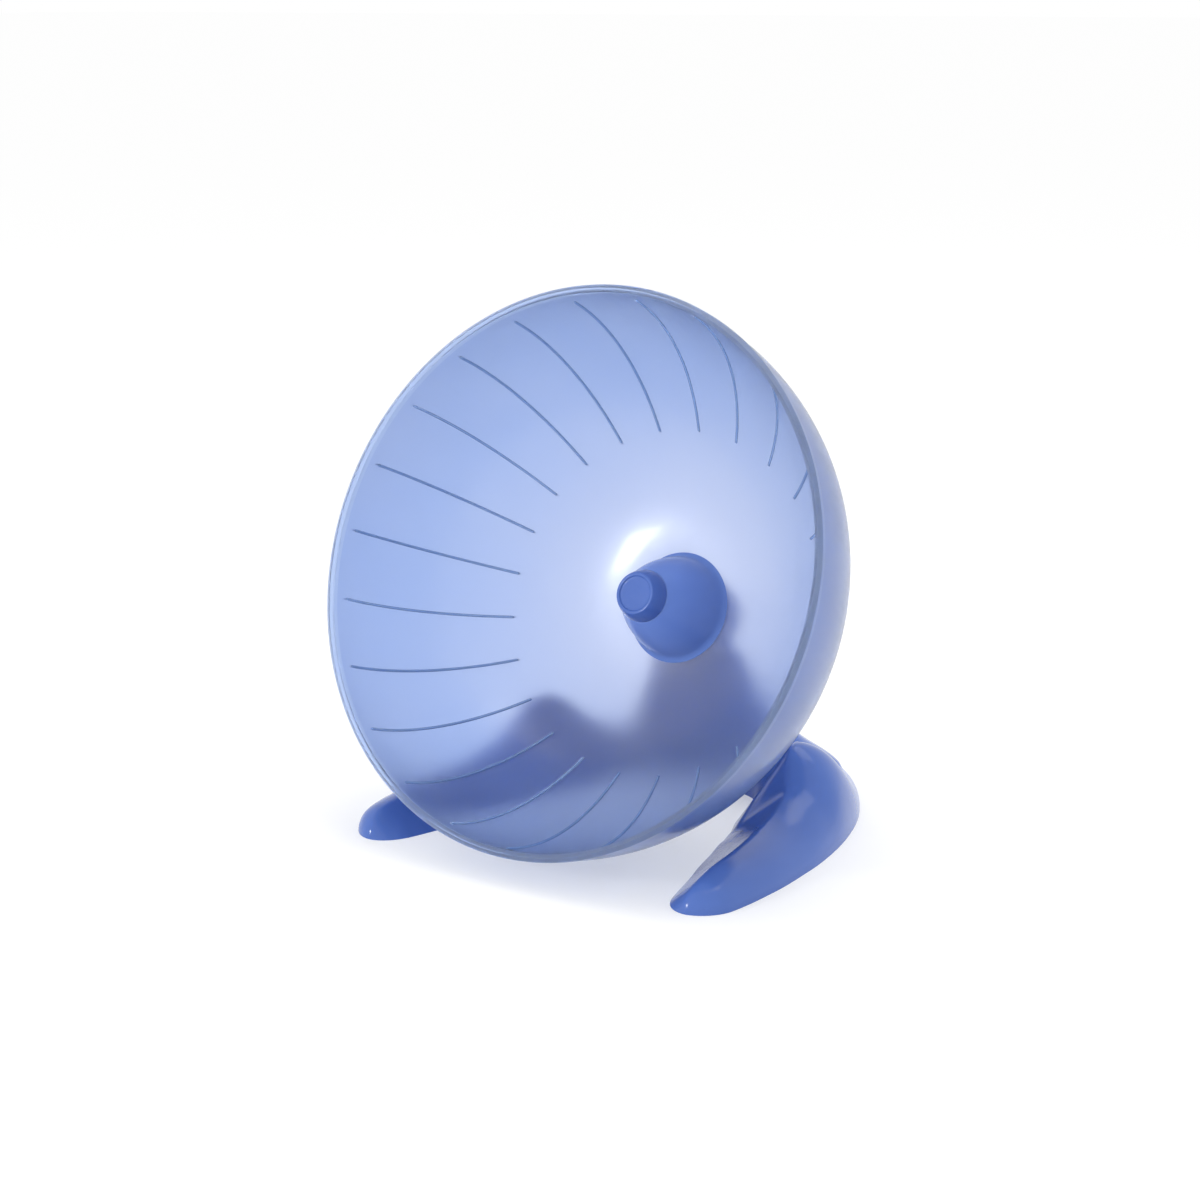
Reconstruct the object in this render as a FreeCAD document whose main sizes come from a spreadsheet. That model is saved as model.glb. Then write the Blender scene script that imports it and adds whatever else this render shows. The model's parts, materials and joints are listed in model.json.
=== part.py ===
"""Rodent exercise wheel: a tilted running bowl on ball bearings, carried by a moulded stand.

Millimetres. +Z is up, the bowl opens towards -Y, and the floor is the plane Z = 0.
The origin lies on the floor under the middle of the object's own box.
Depth is measured along the wheel axis from the rim plane, growing towards the stand.
"""
import FreeCAD
import Part
import Sketcher
import math
import os

from FreeCAD import Placement, Rotation, Vector

# Driving dimensions, millimetres and degrees: every size that can be set by itself.
SIZES = {
    # Running bowl, measured about the wheel axis
    "tilt_angle": 21.0,
    "floor_clearance": 4.0,
    "bowl_arc_radius": 79.0,
    "bowl_floor_radius": 20.0,
    "bowl_arc_depth": 3.5,
    "bowl_wall": 1.9,
    "lip_reach": 1.0,
    "lip_depth": 2.0,
    "lip_sweep": 1.6,
    "rib_count": 24,
    "rib_turn": 1.85,
    "rib_width": 1.0,
    "rib_rise": 0.7,
    "rib_outer_depth": 6.4,
    "rib_floor_gap": 13.1,
    # Ball bearings
    "bearing_bore_radius": 3.0,
    "bearing_outer_radius": 9.5,
    "bearing_width": 6.0,
    "ball_radius": 1.75,
    "ball_count": 7,
    "ball_pitch_radius": 6.2,
    "inner_land_radius": 4.8,
    "outer_land_radius": 7.6,
    "raceway_clearance": 0.05,
    "cage_wall": 1.1,
    "cage_rim": 0.48,
    "pocket_clearance": 0.12,
    "shield_thickness": 0.35,
    "shield_inset": 0.15,
    "shield_seat_radius": 8.1,
    "shield_gap": 0.25,
    "shield_fit": 0.05,
    # Bearing housing, moulded in one with the bowl
    "housing_reach": 5.0,
    "housing_wall": 2.7,
    "housing_fit": 0.02,
    "shoulder_radius": 8.0,
    "shoulder_width": 3.0,
    "housing_rear_lip": 0.5,
    "housing_front_lip": 1.4,
    "clip_thickness": 1.0,
    "clip_bite": 0.7,
    "clip_reach": 1.5,
    "clip_gap_angle": 44.0,
    "clip_clearance": 0.1,
    # Nose cone and its cap
    "cone_foot_radius": 20.6,
    "cone_foot_spread": 2.2,
    "cone_foot_height": 3.4,
    "cone_foot_sweep": 5.0,
    "cone_side_sweep": 55.0,
    "cone_height": 24.6,
    "cone_seam_radius": 9.7,
    "cone_wall": 1.7,
    "cone_lip": 1.6,
    "cone_collar_wall": 1.3,
    "cone_collar_length": 7.0,
    "cone_collar_fit": 0.05,
    "cone_web_width": 1.4,
    "cone_web_count": 6,
    "cap_height": 6.7,
    "cap_step": 0.1,
    "cap_seam": 0.3,
    "cap_side_sweep": 14.0,
    "cap_face_radius": 7.5,
    "cap_ring_width": 1.0,
    "cap_ring_rise": 0.6,
    "cap_face_wall": 2.0,
    "cap_plug_radius": 6.6,
    "cap_plug_length": 4.5,
    "cap_plug_wall": 1.4,
    "cap_fit": 0.05,
    # Axle stack
    "axle_radius": 2.95,
    "axle_reach": 2.0,
    "axle_point": 0.6,
    "nut_across_flats": 10.0,
    "nut_corner_cut": 0.35,
    "lock_nut_height": 5.0,
    "lock_nut_collar": 1.2,
    "lock_nut_collar_radius": 4.4,
    "clamp_nut_height": 3.2,
    "spacer_washer_radius": 4.5,
    "spacer_washer_height": 1.0,
    "sleeve_radius": 4.2,
    "thread_fit": 0.05,
    "head_height": 4.0,
    "head_socket_across_flats": 5.0,
    "head_socket_depth": 2.6,
    "bolt_washer_radius": 6.2,
    "bolt_washer_height": 1.2,
    # Stand, in plan from the upright plane through the rim's centre
    "stand_half_width": 80.8,
    "stand_widest_reach": 16.7,
    "stand_rear_reach": 147.7,
    "toe_reach": 24.8,
    "arch_centre_reach": 40.0,
    "leg_height": 12.2,
    "haunch_height": 33.0,
    "stand_wall": 2.4,
    "neck_half_width": 46.0,
    "neck_half_depth": 20.0,
    "neck_setback": 20.1,
    "boss_radius": 14.2,
    "boss_length": 14.5,
    "boss_edge": 2.5,
    "boss_floor": 6.0,
    "boss_bore_fit": 0.1,
    "boss_face_margin": 1.0,
    "plug_radius": 8.4,
    "plug_height": 1.6,
    "plug_crown_sweep": 46.0,
    "plug_skirt_wall": 1.3,
    "plug_skirt_length": 3.0,
    "plug_fit": 0.05,
    "overrun": 1.0,
}

# Outline of the stand's floor edge: a rounded rectangle's exponent, 2 being an ellipse.
PLAN_POWER_SHARE = 2.1
# How far the outer face's curve handles reach towards the corner they round.
SWELL_SHARE = 0.58

# Legs, from toe to arch: place along (of the toe's reach), then inner edge, crest and outer edge
# (of the stand's half width), and crest height (of the leg's height).
LEG_SHARES = (
    (-1.000, 0.812, 0.822, 0.834, 0.08),
    (-0.907, 0.748, 0.823, 0.899, 0.49),
    (-0.685, 0.697, 0.829, 0.957, 0.78),
    (-0.450, 0.672, 0.824, 0.976, 0.88),
    (-0.200, 0.651, 0.817, 0.986, 0.94),
    (0.200, 0.619, 0.806, 0.995, 0.96),
    (0.605, 0.580, 0.792, 1.000, 0.98),
    (1.290, 0.525, 0.761, 0.993, 1.05),
)

# Rear arch, from side to back: direction (of a right angle), then inner edge and crest
# (of the stand's half width) from the arch's centre, and crest height (of the haunch's height).
ARCH_SHARES = (
    (0.000, 0.495, 0.749, 0.424),
    (0.089, 0.486, 0.750, 0.515),
    (0.167, 0.481, 0.749, 0.652),
    (0.244, 0.484, 0.735, 0.940),
    (0.333, 0.488, 0.752, 1.000),
    (0.500, 0.537, 0.743, 0.660),
    (0.667, 0.676, 0.705, 0.500),
    (0.833, 0.713, 0.675, 0.490),
    (1.000, 0.718, 0.656, 0.490),
)

# Neck, from foot to boss: height (of the boss's height), how far behind the boss
# (of the neck's setback), half width and half depth (of those at its foot).
NECK_SHARES = (
    (0.090, 1.200, 1.000, 0.880),
    (0.177, 1.060, 1.000, 0.940),
    (0.295, 0.652, 0.804, 0.950),
    (0.443, 0.328, 0.641, 0.850),
    (0.576, 0.144, 0.530, 0.740),
    (0.739, -0.005, 0.433, 0.600),
    (0.886, -0.169, 0.320, 0.510),
    (1.004, -0.045, 0.283, 0.400),
)
# The neck is hollow up to this share of the boss's height.
NECK_HOLLOW_SHARE = 0.74
# The stand is hollow behind this share of the toe's reach.
TOE_SOLID_SHARE = -0.75

NODES = []


class Size:
    """A number together with the sheet expression that gives it."""

    def __init__(self, value, text):
        self.value = float(value)
        self.text = text

    def _join(self, other, sign, value):
        return Size(value, "(%s %s %s)" % (self.text, sign, as_size(other).text))

    def __add__(self, other):
        return self._join(other, "+", self.value + as_size(other).value)

    def __sub__(self, other):
        return self._join(other, "-", self.value - as_size(other).value)

    def __mul__(self, other):
        return self._join(other, "*", self.value * as_size(other).value)

    def __truediv__(self, other):
        return self._join(other, "/", self.value / as_size(other).value)

    def __neg__(self):
        return Size(-self.value, "(0 - %s)" % self.text)

    def root(self):
        return Size(math.sqrt(self.value), "sqrt(%s)" % self.text)


def as_size(item):
    return item if isinstance(item, Size) else Size(item, repr(item))


class Sheet:
    """Attribute access to the driving dimensions: sheet.name is a Size."""

    def __getattr__(self, name):
        return Size(SIZES[name], "Sizes." + name)


sheet = Sheet()
doc = FreeCAD.newDocument("ExerciseWheel")
cells = doc.addObject("Spreadsheet::Sheet", "Sizes")
for row, (name, value) in enumerate(SIZES.items(), start=1):
    cells.set("A%d" % row, name)
    cells.set("B%d" % row, repr(value))
    cells.setAlias("B%d" % row, name)
doc.recompute()

TILT = math.radians(SIZES["tilt_angle"])

# Depths of the bowl and the axle stack, from the rim plane towards the stand
inner_arc_radius = sheet.bowl_arc_radius - sheet.bowl_wall
bowl_floor_depth = sheet.bowl_arc_depth + sheet.bowl_arc_radius
inner_floor_depth = bowl_floor_depth - sheet.bowl_wall
housing_back = bowl_floor_depth + sheet.housing_reach
rear_bearing_back = housing_back - sheet.housing_rear_lip
rear_bearing_front = rear_bearing_back - sheet.bearing_width
front_bearing_back = rear_bearing_front - sheet.shoulder_width
front_bearing_front = front_bearing_back - sheet.bearing_width
clip_front = front_bearing_front - sheet.clip_thickness
clip_groove_front = clip_front - sheet.clip_clearance
housing_front = clip_groove_front - sheet.housing_front_lip
front_washer_front = front_bearing_front - sheet.spacer_washer_height
lock_nut_front = front_washer_front - sheet.lock_nut_height
axle_front = lock_nut_front - sheet.axle_reach
rear_washer_back = rear_bearing_back + sheet.spacer_washer_height
boss_front = rear_washer_back + sheet.clamp_nut_height
boss_back = boss_front + sheet.boss_length
boss_seat = boss_front + sheet.boss_floor
bolt_washer_back = boss_seat + sheet.bolt_washer_height
head_back = bolt_washer_back + sheet.head_height
cone_seam_depth = inner_floor_depth - sheet.cone_height
housing_radius = sheet.bearing_outer_radius + sheet.housing_wall
housing_bore = sheet.bearing_outer_radius + sheet.housing_fit
nut_bore = sheet.axle_radius + sheet.thread_fit


def arc_radius_at(arc_radius, depth):
    """Radius of one of the bowl's arcs at a depth."""
    drop = as_size(depth) - sheet.bowl_arc_depth
    return sheet.bowl_floor_radius + (arc_radius * arc_radius - drop * drop).root()


lip_radius = arc_radius_at(sheet.bowl_arc_radius, 0) + sheet.lip_reach
mouth_radius = arc_radius_at(inner_arc_radius, 0)

# The bowl's lowest point clears the floor, and the box runs from the mouth's lip to the stand's back.
RIM_HEIGHT = (
    SIZES["floor_clearance"] + SIZES["bowl_arc_radius"]
    + SIZES["bowl_floor_radius"] * math.cos(TILT) + SIZES["bowl_arc_depth"] * math.sin(TILT))
lip_half = (lip_radius.value - mouth_radius.value) / 2
lip_centre_depth = math.sqrt(SIZES["lip_sweep"] ** 2 - lip_half ** 2)
LIP_FRONT = (
    SIZES["lip_sweep"] + (mouth_radius.value + lip_half) * math.sin(TILT) - lip_centre_depth * math.cos(TILT))
RIM_Y = (LIP_FRONT - SIZES["stand_rear_reach"]) / 2
WHEEL_PLACEMENT = Placement(
    Vector(0, RIM_Y, RIM_HEIGHT), Rotation(Vector(1, 0, 0), 90 - SIZES["tilt_angle"]))
STAND_PLACEMENT = Placement(Vector(0, RIM_Y, 0), Rotation())


def keep(feature, label, placement=WHEEL_PLACEMENT):
    """Give a finished piece its node name and its place."""
    feature.Label = label
    feature.Placement = placement
    NODES.append(feature)
    return feature


def origin_part(body, role):
    return next(item for item in body.Origin.OriginFeatures if item.Role == role)


def bind(sketch, kind, *references, size):
    """Add a measured constraint that follows its sheet expression."""
    number = sketch.addConstraint(Sketcher.Constraint(kind, *references, size.value))
    sketch.setExpression("Constraints[%d]" % number, size.text)


def new_sketch(body, name, role):
    sketch = body.newObject("Sketcher::SketchObject", name)
    sketch.AttachmentSupport = [(origin_part(body, role), "")]
    sketch.MapMode = "FlatFace"
    sketch.Visibility = False
    return sketch


def arc_between(start, finish, radius, side):
    """Arc from start to finish, with the ends that carry its start and finish points.

    side is +1 where the arc bulges to the right of the way from start to finish, else -1.
    """
    chord = finish - start
    normal = Vector(-chord.y, chord.x, 0).normalize()
    rise = math.sqrt(radius * radius - chord.Length * chord.Length / 4)
    centre = start + chord * 0.5 + normal * (rise * side)
    first = math.atan2(start.y - centre.y, start.x - centre.x)
    last = math.atan2(finish.y - centre.y, finish.x - centre.x)
    circle = Part.Circle(centre, Vector(0, 0, 1), radius)
    if side > 0:
        return Part.ArcOfCircle(circle, first, last), 1, 2
    return Part.ArcOfCircle(circle, last, first), 2, 1


def outline_sketch(body, name, points, arcs=(), role="XZ_Plane"):
    """Closed outline in one of a body's origin planes.

    points: (across, up) pairs in order. arcs: {edge number: (radius, side)}, where side is
    +1 for an arc that bulges to the right of its edge's direction and -1 to the left.
    """
    sketch = new_sketch(body, name, role)
    arcs = dict(arcs)
    points = [(as_size(across), as_size(up)) for across, up in points]
    places = [Vector(across.value, up.value, 0) for across, up in points]
    ends = []
    for index, start in enumerate(places):
        finish = places[(index + 1) % len(places)]
        if index in arcs:
            radius, side = arcs[index]
            edge, start_end, finish_end = arc_between(start, finish, radius.value, side)
        else:
            edge, start_end, finish_end = Part.LineSegment(start, finish), 1, 2
        sketch.addGeometry(edge, False)
        ends.append((start_end, finish_end))
    for index in range(len(places)):
        following = (index + 1) % len(places)
        sketch.addConstraint(Sketcher.Constraint(
            "Coincident", index, ends[index][1], following, ends[following][0]))
    for index, (across, up) in enumerate(points):
        for kind, size, axis in (("DistanceX", across, -2), ("DistanceY", up, -1)):
            if size.value == 0:
                sketch.addConstraint(Sketcher.Constraint("PointOnObject", index, ends[index][0], axis))
            else:
                bind(sketch, kind, -1, 1, index, ends[index][0], size=size)
    for index, (radius, side) in arcs.items():
        bind(sketch, "Radius", index, size=radius)
    return sketch


def turn(body, name, points, arcs=(), groove=False):
    """Material turned, or cut away, about the body's Z axis from (radius, height) pairs."""
    sketch = outline_sketch(body, name + "_outline", points, arcs)
    turning = body.newObject("PartDesign::Groove" if groove else "PartDesign::Revolution", name)
    turning.Profile = sketch
    turning.ReferenceAxis = (sketch, ["V_Axis"])
    turning.Angle = 360
    return turning


def turned_body(name, points, arcs=()):
    body = doc.addObject("PartDesign::Body", name)
    turn(body, name + "_turning", points, arcs)
    return body


def plain_ring(label, inner, outer, front, back):
    """Ring of square section about the wheel axis, between two depths."""
    body = turned_body(label, [(inner, -back), (outer, -back), (outer, -front), (inner, -front)])
    return keep(body, label)


def hexagon_prism(body, name, across_flats, back, height, pocket=False):
    """Hexagonal prism that runs forward from a depth, or a hexagonal socket that runs forward from it."""
    sketch = new_sketch(body, name + "_outline", "XY_Plane")
    corner_radius = across_flats.value / 2 / math.cos(math.pi / 6)
    corners = [
        Vector(corner_radius * math.cos(turn_by), corner_radius * math.sin(turn_by), 0)
        for turn_by in (side * math.pi / 3 for side in range(6))]
    for side in range(6):
        sketch.addGeometry(Part.LineSegment(corners[side], corners[(side + 1) % 6]), False)
    for side in range(6):
        sketch.addConstraint(Sketcher.Constraint("Coincident", side, 2, (side + 1) % 6, 1))
    guide = sketch.addGeometry(Part.Circle(Vector(0, 0, 0), Vector(0, 0, 1), corner_radius), True)
    sketch.addConstraint(Sketcher.Constraint("Coincident", guide, 3, -1, 1))
    for side in range(6):
        sketch.addConstraint(Sketcher.Constraint("PointOnObject", side, 1, guide))
    for side in range(4):
        sketch.addConstraint(Sketcher.Constraint("Equal", side, side + 1))
    sketch.addConstraint(Sketcher.Constraint("PointOnObject", 0, 1, -1))
    bind(sketch, "Diameter", guide, size=Size(2 * corner_radius, "(%s / cos(30))" % across_flats.text))
    sketch.setExpression("AttachmentOffset.Base.z", (-back).text)
    prism = body.newObject("PartDesign::Pocket" if pocket else "PartDesign::Pad", name)
    prism.Profile = sketch
    prism.Type = "Length"
    prism.Reversed = pocket
    prism.setExpression("Length", height.text)
    return prism


def polar(body, feature, count_name, name):
    """Repeat a feature about the wheel axis as often as the sheet says."""
    pattern = body.newObject("PartDesign::PolarPattern", name)
    pattern.Originals = [feature]
    pattern.Axis = (origin_part(body, "Z_Axis"), [""])
    pattern.Angle = 360
    pattern.setExpression("Occurrences", "Sizes." + count_name)
    body.Tip = pattern
    return pattern


def bar(body, name, points, arcs, width):
    """Flat bar in the plane of the wheel axis, centred on that plane."""
    sketch = outline_sketch(body, name + "_outline", points, arcs)
    pad = body.newObject("PartDesign::Pad", name)
    pad.Profile = sketch
    pad.Type = "Length"
    pad.setExpression("Length", width.text)
    pad.Midplane = True
    return pad


def make_bowl():
    """Running bowl: an arc turned about the axis, with a rolled lip, running ribs and bearing housing."""
    body = doc.addObject("PartDesign::Body", "wheel_bowl")
    outer = sheet.bowl_arc_radius
    inner = inner_arc_radius
    turn(body, "bowl_shell", [
        (housing_bore, -bowl_floor_depth),
        (sheet.bowl_floor_radius, -bowl_floor_depth),
        (arc_radius_at(outer, sheet.lip_depth), -sheet.lip_depth),
        (lip_radius, -sheet.lip_depth),
        (lip_radius, 0),
        (mouth_radius, 0),
        (sheet.bowl_floor_radius, -inner_floor_depth),
        (housing_bore, -inner_floor_depth),
    ], {1: (outer, 1), 4: (sheet.lip_sweep, 1), 5: (inner, -1)})
    groove_radius = sheet.bearing_outer_radius + sheet.clip_bite + sheet.clip_clearance
    turn(body, "bearing_housing", [
        (housing_bore, -housing_back),
        (housing_radius, -housing_back),
        (housing_radius, -housing_front),
        (housing_bore, -housing_front),
        (housing_bore, -clip_groove_front),
        (groove_radius, -clip_groove_front),
        (groove_radius, -front_bearing_front),
        (housing_bore, -front_bearing_front),
        (housing_bore, -front_bearing_back),
        (sheet.shoulder_radius, -front_bearing_back),
        (sheet.shoulder_radius, -rear_bearing_front),
        (housing_bore, -rear_bearing_front),
    ])
    crest = inner - sheet.rib_rise
    root = inner + sheet.bowl_wall / 2
    rib_inner_depth = inner_floor_depth - sheet.rib_floor_gap
    rib = bar(body, "running_rib", [
        (arc_radius_at(root, sheet.rib_outer_depth), -sheet.rib_outer_depth),
        (arc_radius_at(crest, sheet.rib_outer_depth), -sheet.rib_outer_depth),
        (arc_radius_at(crest, rib_inner_depth), -rib_inner_depth),
        (arc_radius_at(root, rib_inner_depth), -rib_inner_depth),
    ], {1: (crest, -1), 3: (root, 1)}, sheet.rib_width)
    polar(body, rib, "rib_count", "running_ribs")
    turned = WHEEL_PLACEMENT.multiply(
        Placement(Vector(0, 0, 0), Rotation(Vector(0, 0, 1), -SIZES["rib_turn"])))
    return keep(body, "wheel_bowl", turned)


def make_bearing(place, front):
    """One shielded ball bearing: rings, ball cage, balls and two shields, from its front face's depth."""
    half = sheet.bearing_width / 2
    middle = front + half
    back = front + sheet.bearing_width
    race_radius = sheet.ball_radius + sheet.raceway_clearance
    inner_rise = sheet.ball_pitch_radius - sheet.inner_land_radius
    outer_rise = sheet.outer_land_radius - sheet.ball_pitch_radius
    inner_half = (race_radius * race_radius - inner_rise * inner_rise).root()
    outer_half = (race_radius * race_radius - outer_rise * outer_rise).root()
    keep(turned_body(place + "_inner_ring", [
        (sheet.bearing_bore_radius, -back),
        (sheet.inner_land_radius, -back),
        (sheet.inner_land_radius, -(middle + inner_half)),
        (sheet.inner_land_radius, -(middle - inner_half)),
        (sheet.inner_land_radius, -front),
        (sheet.bearing_bore_radius, -front),
    ], {2: (race_radius, -1)}), place + "_inner_ring")
    shield_step = sheet.shield_inset + sheet.shield_thickness
    keep(turned_body(place + "_outer_ring", [
        (sheet.bearing_outer_radius, -back),
        (sheet.bearing_outer_radius, -front),
        (sheet.shield_seat_radius, -front),
        (sheet.shield_seat_radius, -(front + shield_step)),
        (sheet.outer_land_radius, -(front + shield_step)),
        (sheet.outer_land_radius, -(middle - outer_half)),
        (sheet.outer_land_radius, -(middle + outer_half)),
        (sheet.outer_land_radius, -(back - shield_step)),
        (sheet.shield_seat_radius, -(back - shield_step)),
        (sheet.shield_seat_radius, -back),
    ], {5: (race_radius, -1)}), place + "_outer_ring")
    make_shields(place, front, back)
    make_cage(place, middle)
    make_balls(place, middle)


def make_shields(place, front, back):
    """The two pressed shields that close a bearing, seated on the outer ring's steps."""
    inner = sheet.inner_land_radius + sheet.shield_gap
    outer = sheet.shield_seat_radius - sheet.shield_fit
    discs = []
    for face, outwards in ((front, 1), (back, -1)):
        near = face + sheet.shield_inset * outwards
        far = near + sheet.shield_thickness * outwards
        disc = doc.addObject("Part::Cylinder", place + "_shield_disc")
        disc.setExpression("Radius", outer.text)
        disc.setExpression("Height", "Sizes.shield_thickness")
        hole = doc.addObject("Part::Cylinder", place + "_shield_hole")
        hole.setExpression("Radius", inner.text)
        hole.setExpression("Height", "Sizes.shield_thickness")
        base = -(far if outwards > 0 else near)
        for item in (disc, hole):
            item.setExpression("Placement.Base.z", base.text)
        shield = doc.addObject("Part::Cut", place + "_shield")
        shield.Base = disc
        shield.Tool = hole
        discs.append(shield)
    pair = doc.addObject("Part::Compound", place + "_bearing_shields")
    pair.Links = discs
    return keep(pair, place + "_bearing_shields")


def make_cage(place, middle):
    """Ball cage: a thin ring with a round pocket for each ball."""
    half_wall = sheet.cage_wall / 2
    pocket_radius = sheet.ball_radius + sheet.pocket_clearance
    half_width = pocket_radius + sheet.cage_rim
    label = place + "_bearing_cage"
    body = turned_body(label, [
        (sheet.ball_pitch_radius - half_wall, -(middle + half_width)),
        (sheet.ball_pitch_radius + half_wall, -(middle + half_width)),
        (sheet.ball_pitch_radius + half_wall, -(middle - half_width)),
        (sheet.ball_pitch_radius - half_wall, -(middle - half_width)),
    ])
    sketch = new_sketch(body, label + "_pocket_outline", "YZ_Plane")
    sketch.addGeometry(Part.Circle(Vector(0, -middle.value, 0), Vector(0, 0, 1), pocket_radius.value), False)
    sketch.addConstraint(Sketcher.Constraint("PointOnObject", 0, 3, -2))
    bind(sketch, "DistanceY", -1, 1, 0, 3, size=-middle)
    bind(sketch, "Radius", 0, size=pocket_radius)
    pocket = body.newObject("PartDesign::Pocket", label + "_pocket")
    pocket.Profile = sketch
    pocket.Type = "Length"
    pocket.Reversed = True
    pocket.setExpression("Length", (sheet.ball_pitch_radius + sheet.cage_wall).text)
    polar(body, pocket, "ball_count", label + "_pockets")
    return keep(body, label)


def make_balls(place, middle):
    """The balls of one bearing, spaced evenly on the pitch circle."""
    balls = []
    for number in range(SIZES["ball_count"]):
        ball = doc.addObject("Part::Sphere", "%s_ball_%d" % (place, number + 1))
        ball.setExpression("Radius", "Sizes.ball_radius")
        around = "%d * 360 / Sizes.ball_count" % number
        ball.setExpression("Placement.Base.x", "Sizes.ball_pitch_radius * cos(%s)" % around)
        ball.setExpression("Placement.Base.y", "Sizes.ball_pitch_radius * sin(%s)" % around)
        ball.setExpression("Placement.Base.z", (-middle).text)
        balls.append(ball)
    ring = doc.addObject("Part::Compound", place + "_bearing_balls")
    ring.Links = balls
    return keep(ring, place + "_bearing_balls")


def make_clip():
    """Split ring that holds the front bearing in its housing."""
    body = doc.addObject("PartDesign::Body", "bearing_clip")
    outer = sheet.bearing_outer_radius + sheet.clip_bite
    inner = sheet.bearing_outer_radius - sheet.clip_reach
    plain = turn(body, "clip_ring", [
        (inner, -front_bearing_front), (outer, -front_bearing_front), (outer, -clip_front), (inner, -clip_front)])
    half_gap = math.radians(SIZES["clip_gap_angle"] / 2)
    plain.setExpression("Angle", "360 - Sizes.clip_gap_angle")
    opening_down = Rotation(Vector(0, 0, 1), math.degrees(half_gap) - 90)
    return keep(body, "bearing_clip", WHEEL_PLACEMENT.multiply(Placement(Vector(0, 0, 0), opening_down)))


def make_cone():
    """Nose cone over the bearing housing: a hollow ogive with a flared foot, a collar and webs."""
    body = doc.addObject("PartDesign::Body", "nose_cone")
    foot = sheet.cone_foot_radius
    knee = foot - sheet.cone_foot_spread
    knee_depth = inner_floor_depth - sheet.cone_foot_height
    seam = sheet.cone_seam_radius
    wall = sheet.cone_wall
    lip_depth = cone_seam_depth + sheet.cone_lip
    bore = sheet.cap_plug_radius + sheet.cap_fit
    turn(body, "cone_shell", [
        (foot, -inner_floor_depth),
        (knee, -knee_depth),
        (seam, -cone_seam_depth),
        (bore, -cone_seam_depth),
        (bore, -lip_depth),
        (seam - wall + sheet.cone_lip / 2, -lip_depth),
        (knee - wall, -knee_depth),
        (foot - wall, -inner_floor_depth),
    ], {0: (sheet.cone_foot_sweep, -1), 1: (sheet.cone_side_sweep, 1),
        5: (sheet.cone_side_sweep - wall, -1), 6: (sheet.cone_foot_sweep + wall, 1)})
    collar_bore = housing_radius + sheet.cone_collar_fit
    collar_front = inner_floor_depth - sheet.cone_collar_length
    collar_radius = collar_bore + sheet.cone_collar_wall
    turn(body, "cone_collar", [
        (collar_bore, -inner_floor_depth),
        (collar_radius, -inner_floor_depth),
        (collar_radius, -collar_front),
        (collar_bore, -collar_front),
    ])
    web = bar(body, "cone_web", [
        (collar_radius - sheet.cone_collar_wall / 2, -inner_floor_depth),
        (foot - wall, -inner_floor_depth),
        (knee - wall / 2, -knee_depth),
        (knee - wall / 2 - sheet.cone_foot_spread / 2, -collar_front),
        (collar_radius - sheet.cone_collar_wall / 2, -collar_front),
    ], (), sheet.cone_web_width)
    polar(body, web, "cone_web_count", "cone_webs")
    return keep(body, "nose_cone")


def make_cap():
    """Cap that closes the cone: a raised ring round a bare sunk face, on a hollow plug."""
    seam = sheet.cone_seam_radius - sheet.cap_step
    tip = cone_seam_depth - sheet.cap_height
    sunk_face = tip + sheet.cap_ring_rise
    ring_inner = sheet.cap_face_radius - sheet.cap_ring_width
    plug_inner = sheet.cap_plug_radius - sheet.cap_plug_wall
    plug_back = cone_seam_depth + sheet.cap_plug_length
    body = turned_body("nose_cap", [
        (0, -sunk_face),
        (ring_inner - sheet.cap_ring_rise / 2, -sunk_face),
        (ring_inner, -tip),
        (sheet.cap_face_radius, -tip),
        (seam, -(cone_seam_depth - sheet.cap_seam)),
        (seam - sheet.cap_seam, -(cone_seam_depth - sheet.cap_seam)),
        (seam - sheet.cap_seam, -cone_seam_depth),
        (sheet.cap_plug_radius, -cone_seam_depth),
        (sheet.cap_plug_radius, -plug_back),
        (plug_inner, -plug_back),
        (plug_inner, -(sunk_face + sheet.cap_face_wall)),
        (0, -(sunk_face + sheet.cap_face_wall)),
    ], {3: (sheet.cap_side_sweep, -1)})
    return keep(body, "nose_cap")


def cut_corners(body, name, face, inwards):
    """Turned chamfer that takes the corners off a hexagon at one of its end faces."""
    flat_radius = sheet.nut_across_flats / 2
    reach = flat_radius + sheet.overrun
    slope = Size(sheet.overrun.value * math.tan(math.pi / 6), "(%s * tan(30))" % sheet.overrun.text)
    start = flat_radius - sheet.nut_corner_cut / 2
    depth = slope + sheet.nut_corner_cut / 2
    points = [(start, -face), (reach, -face), (reach, -(face + depth * inwards))]
    return turn(body, name, points if inwards < 0 else points[::-1], groove=True)


def make_axle_bolt():
    """Bolt through the boss: round shank with a pointed end and a hexagonal head with a socket."""
    body = doc.addObject("PartDesign::Body", "axle_bolt")
    radius = sheet.axle_radius
    turn(body, "bolt_shank", [
        (0, -head_back),
        (radius, -head_back),
        (radius, -(axle_front + sheet.axle_point)),
        (radius - sheet.axle_point, -axle_front),
        (0, -axle_front),
    ])
    hexagon_prism(body, "bolt_head", sheet.nut_across_flats, head_back, sheet.head_height)
    cut_corners(body, "bolt_head_chamfer", head_back, -1)
    hexagon_prism(
        body, "bolt_socket", sheet.head_socket_across_flats, head_back, sheet.head_socket_depth, pocket=True)
    return keep(body, "axle_bolt")


def bore_through(body, name, radius, front, back):
    """Round hole about the wheel axis between two depths."""
    return turn(body, name, [(0, -back), (radius, -back), (radius, -front), (0, -front)], groove=True)


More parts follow.
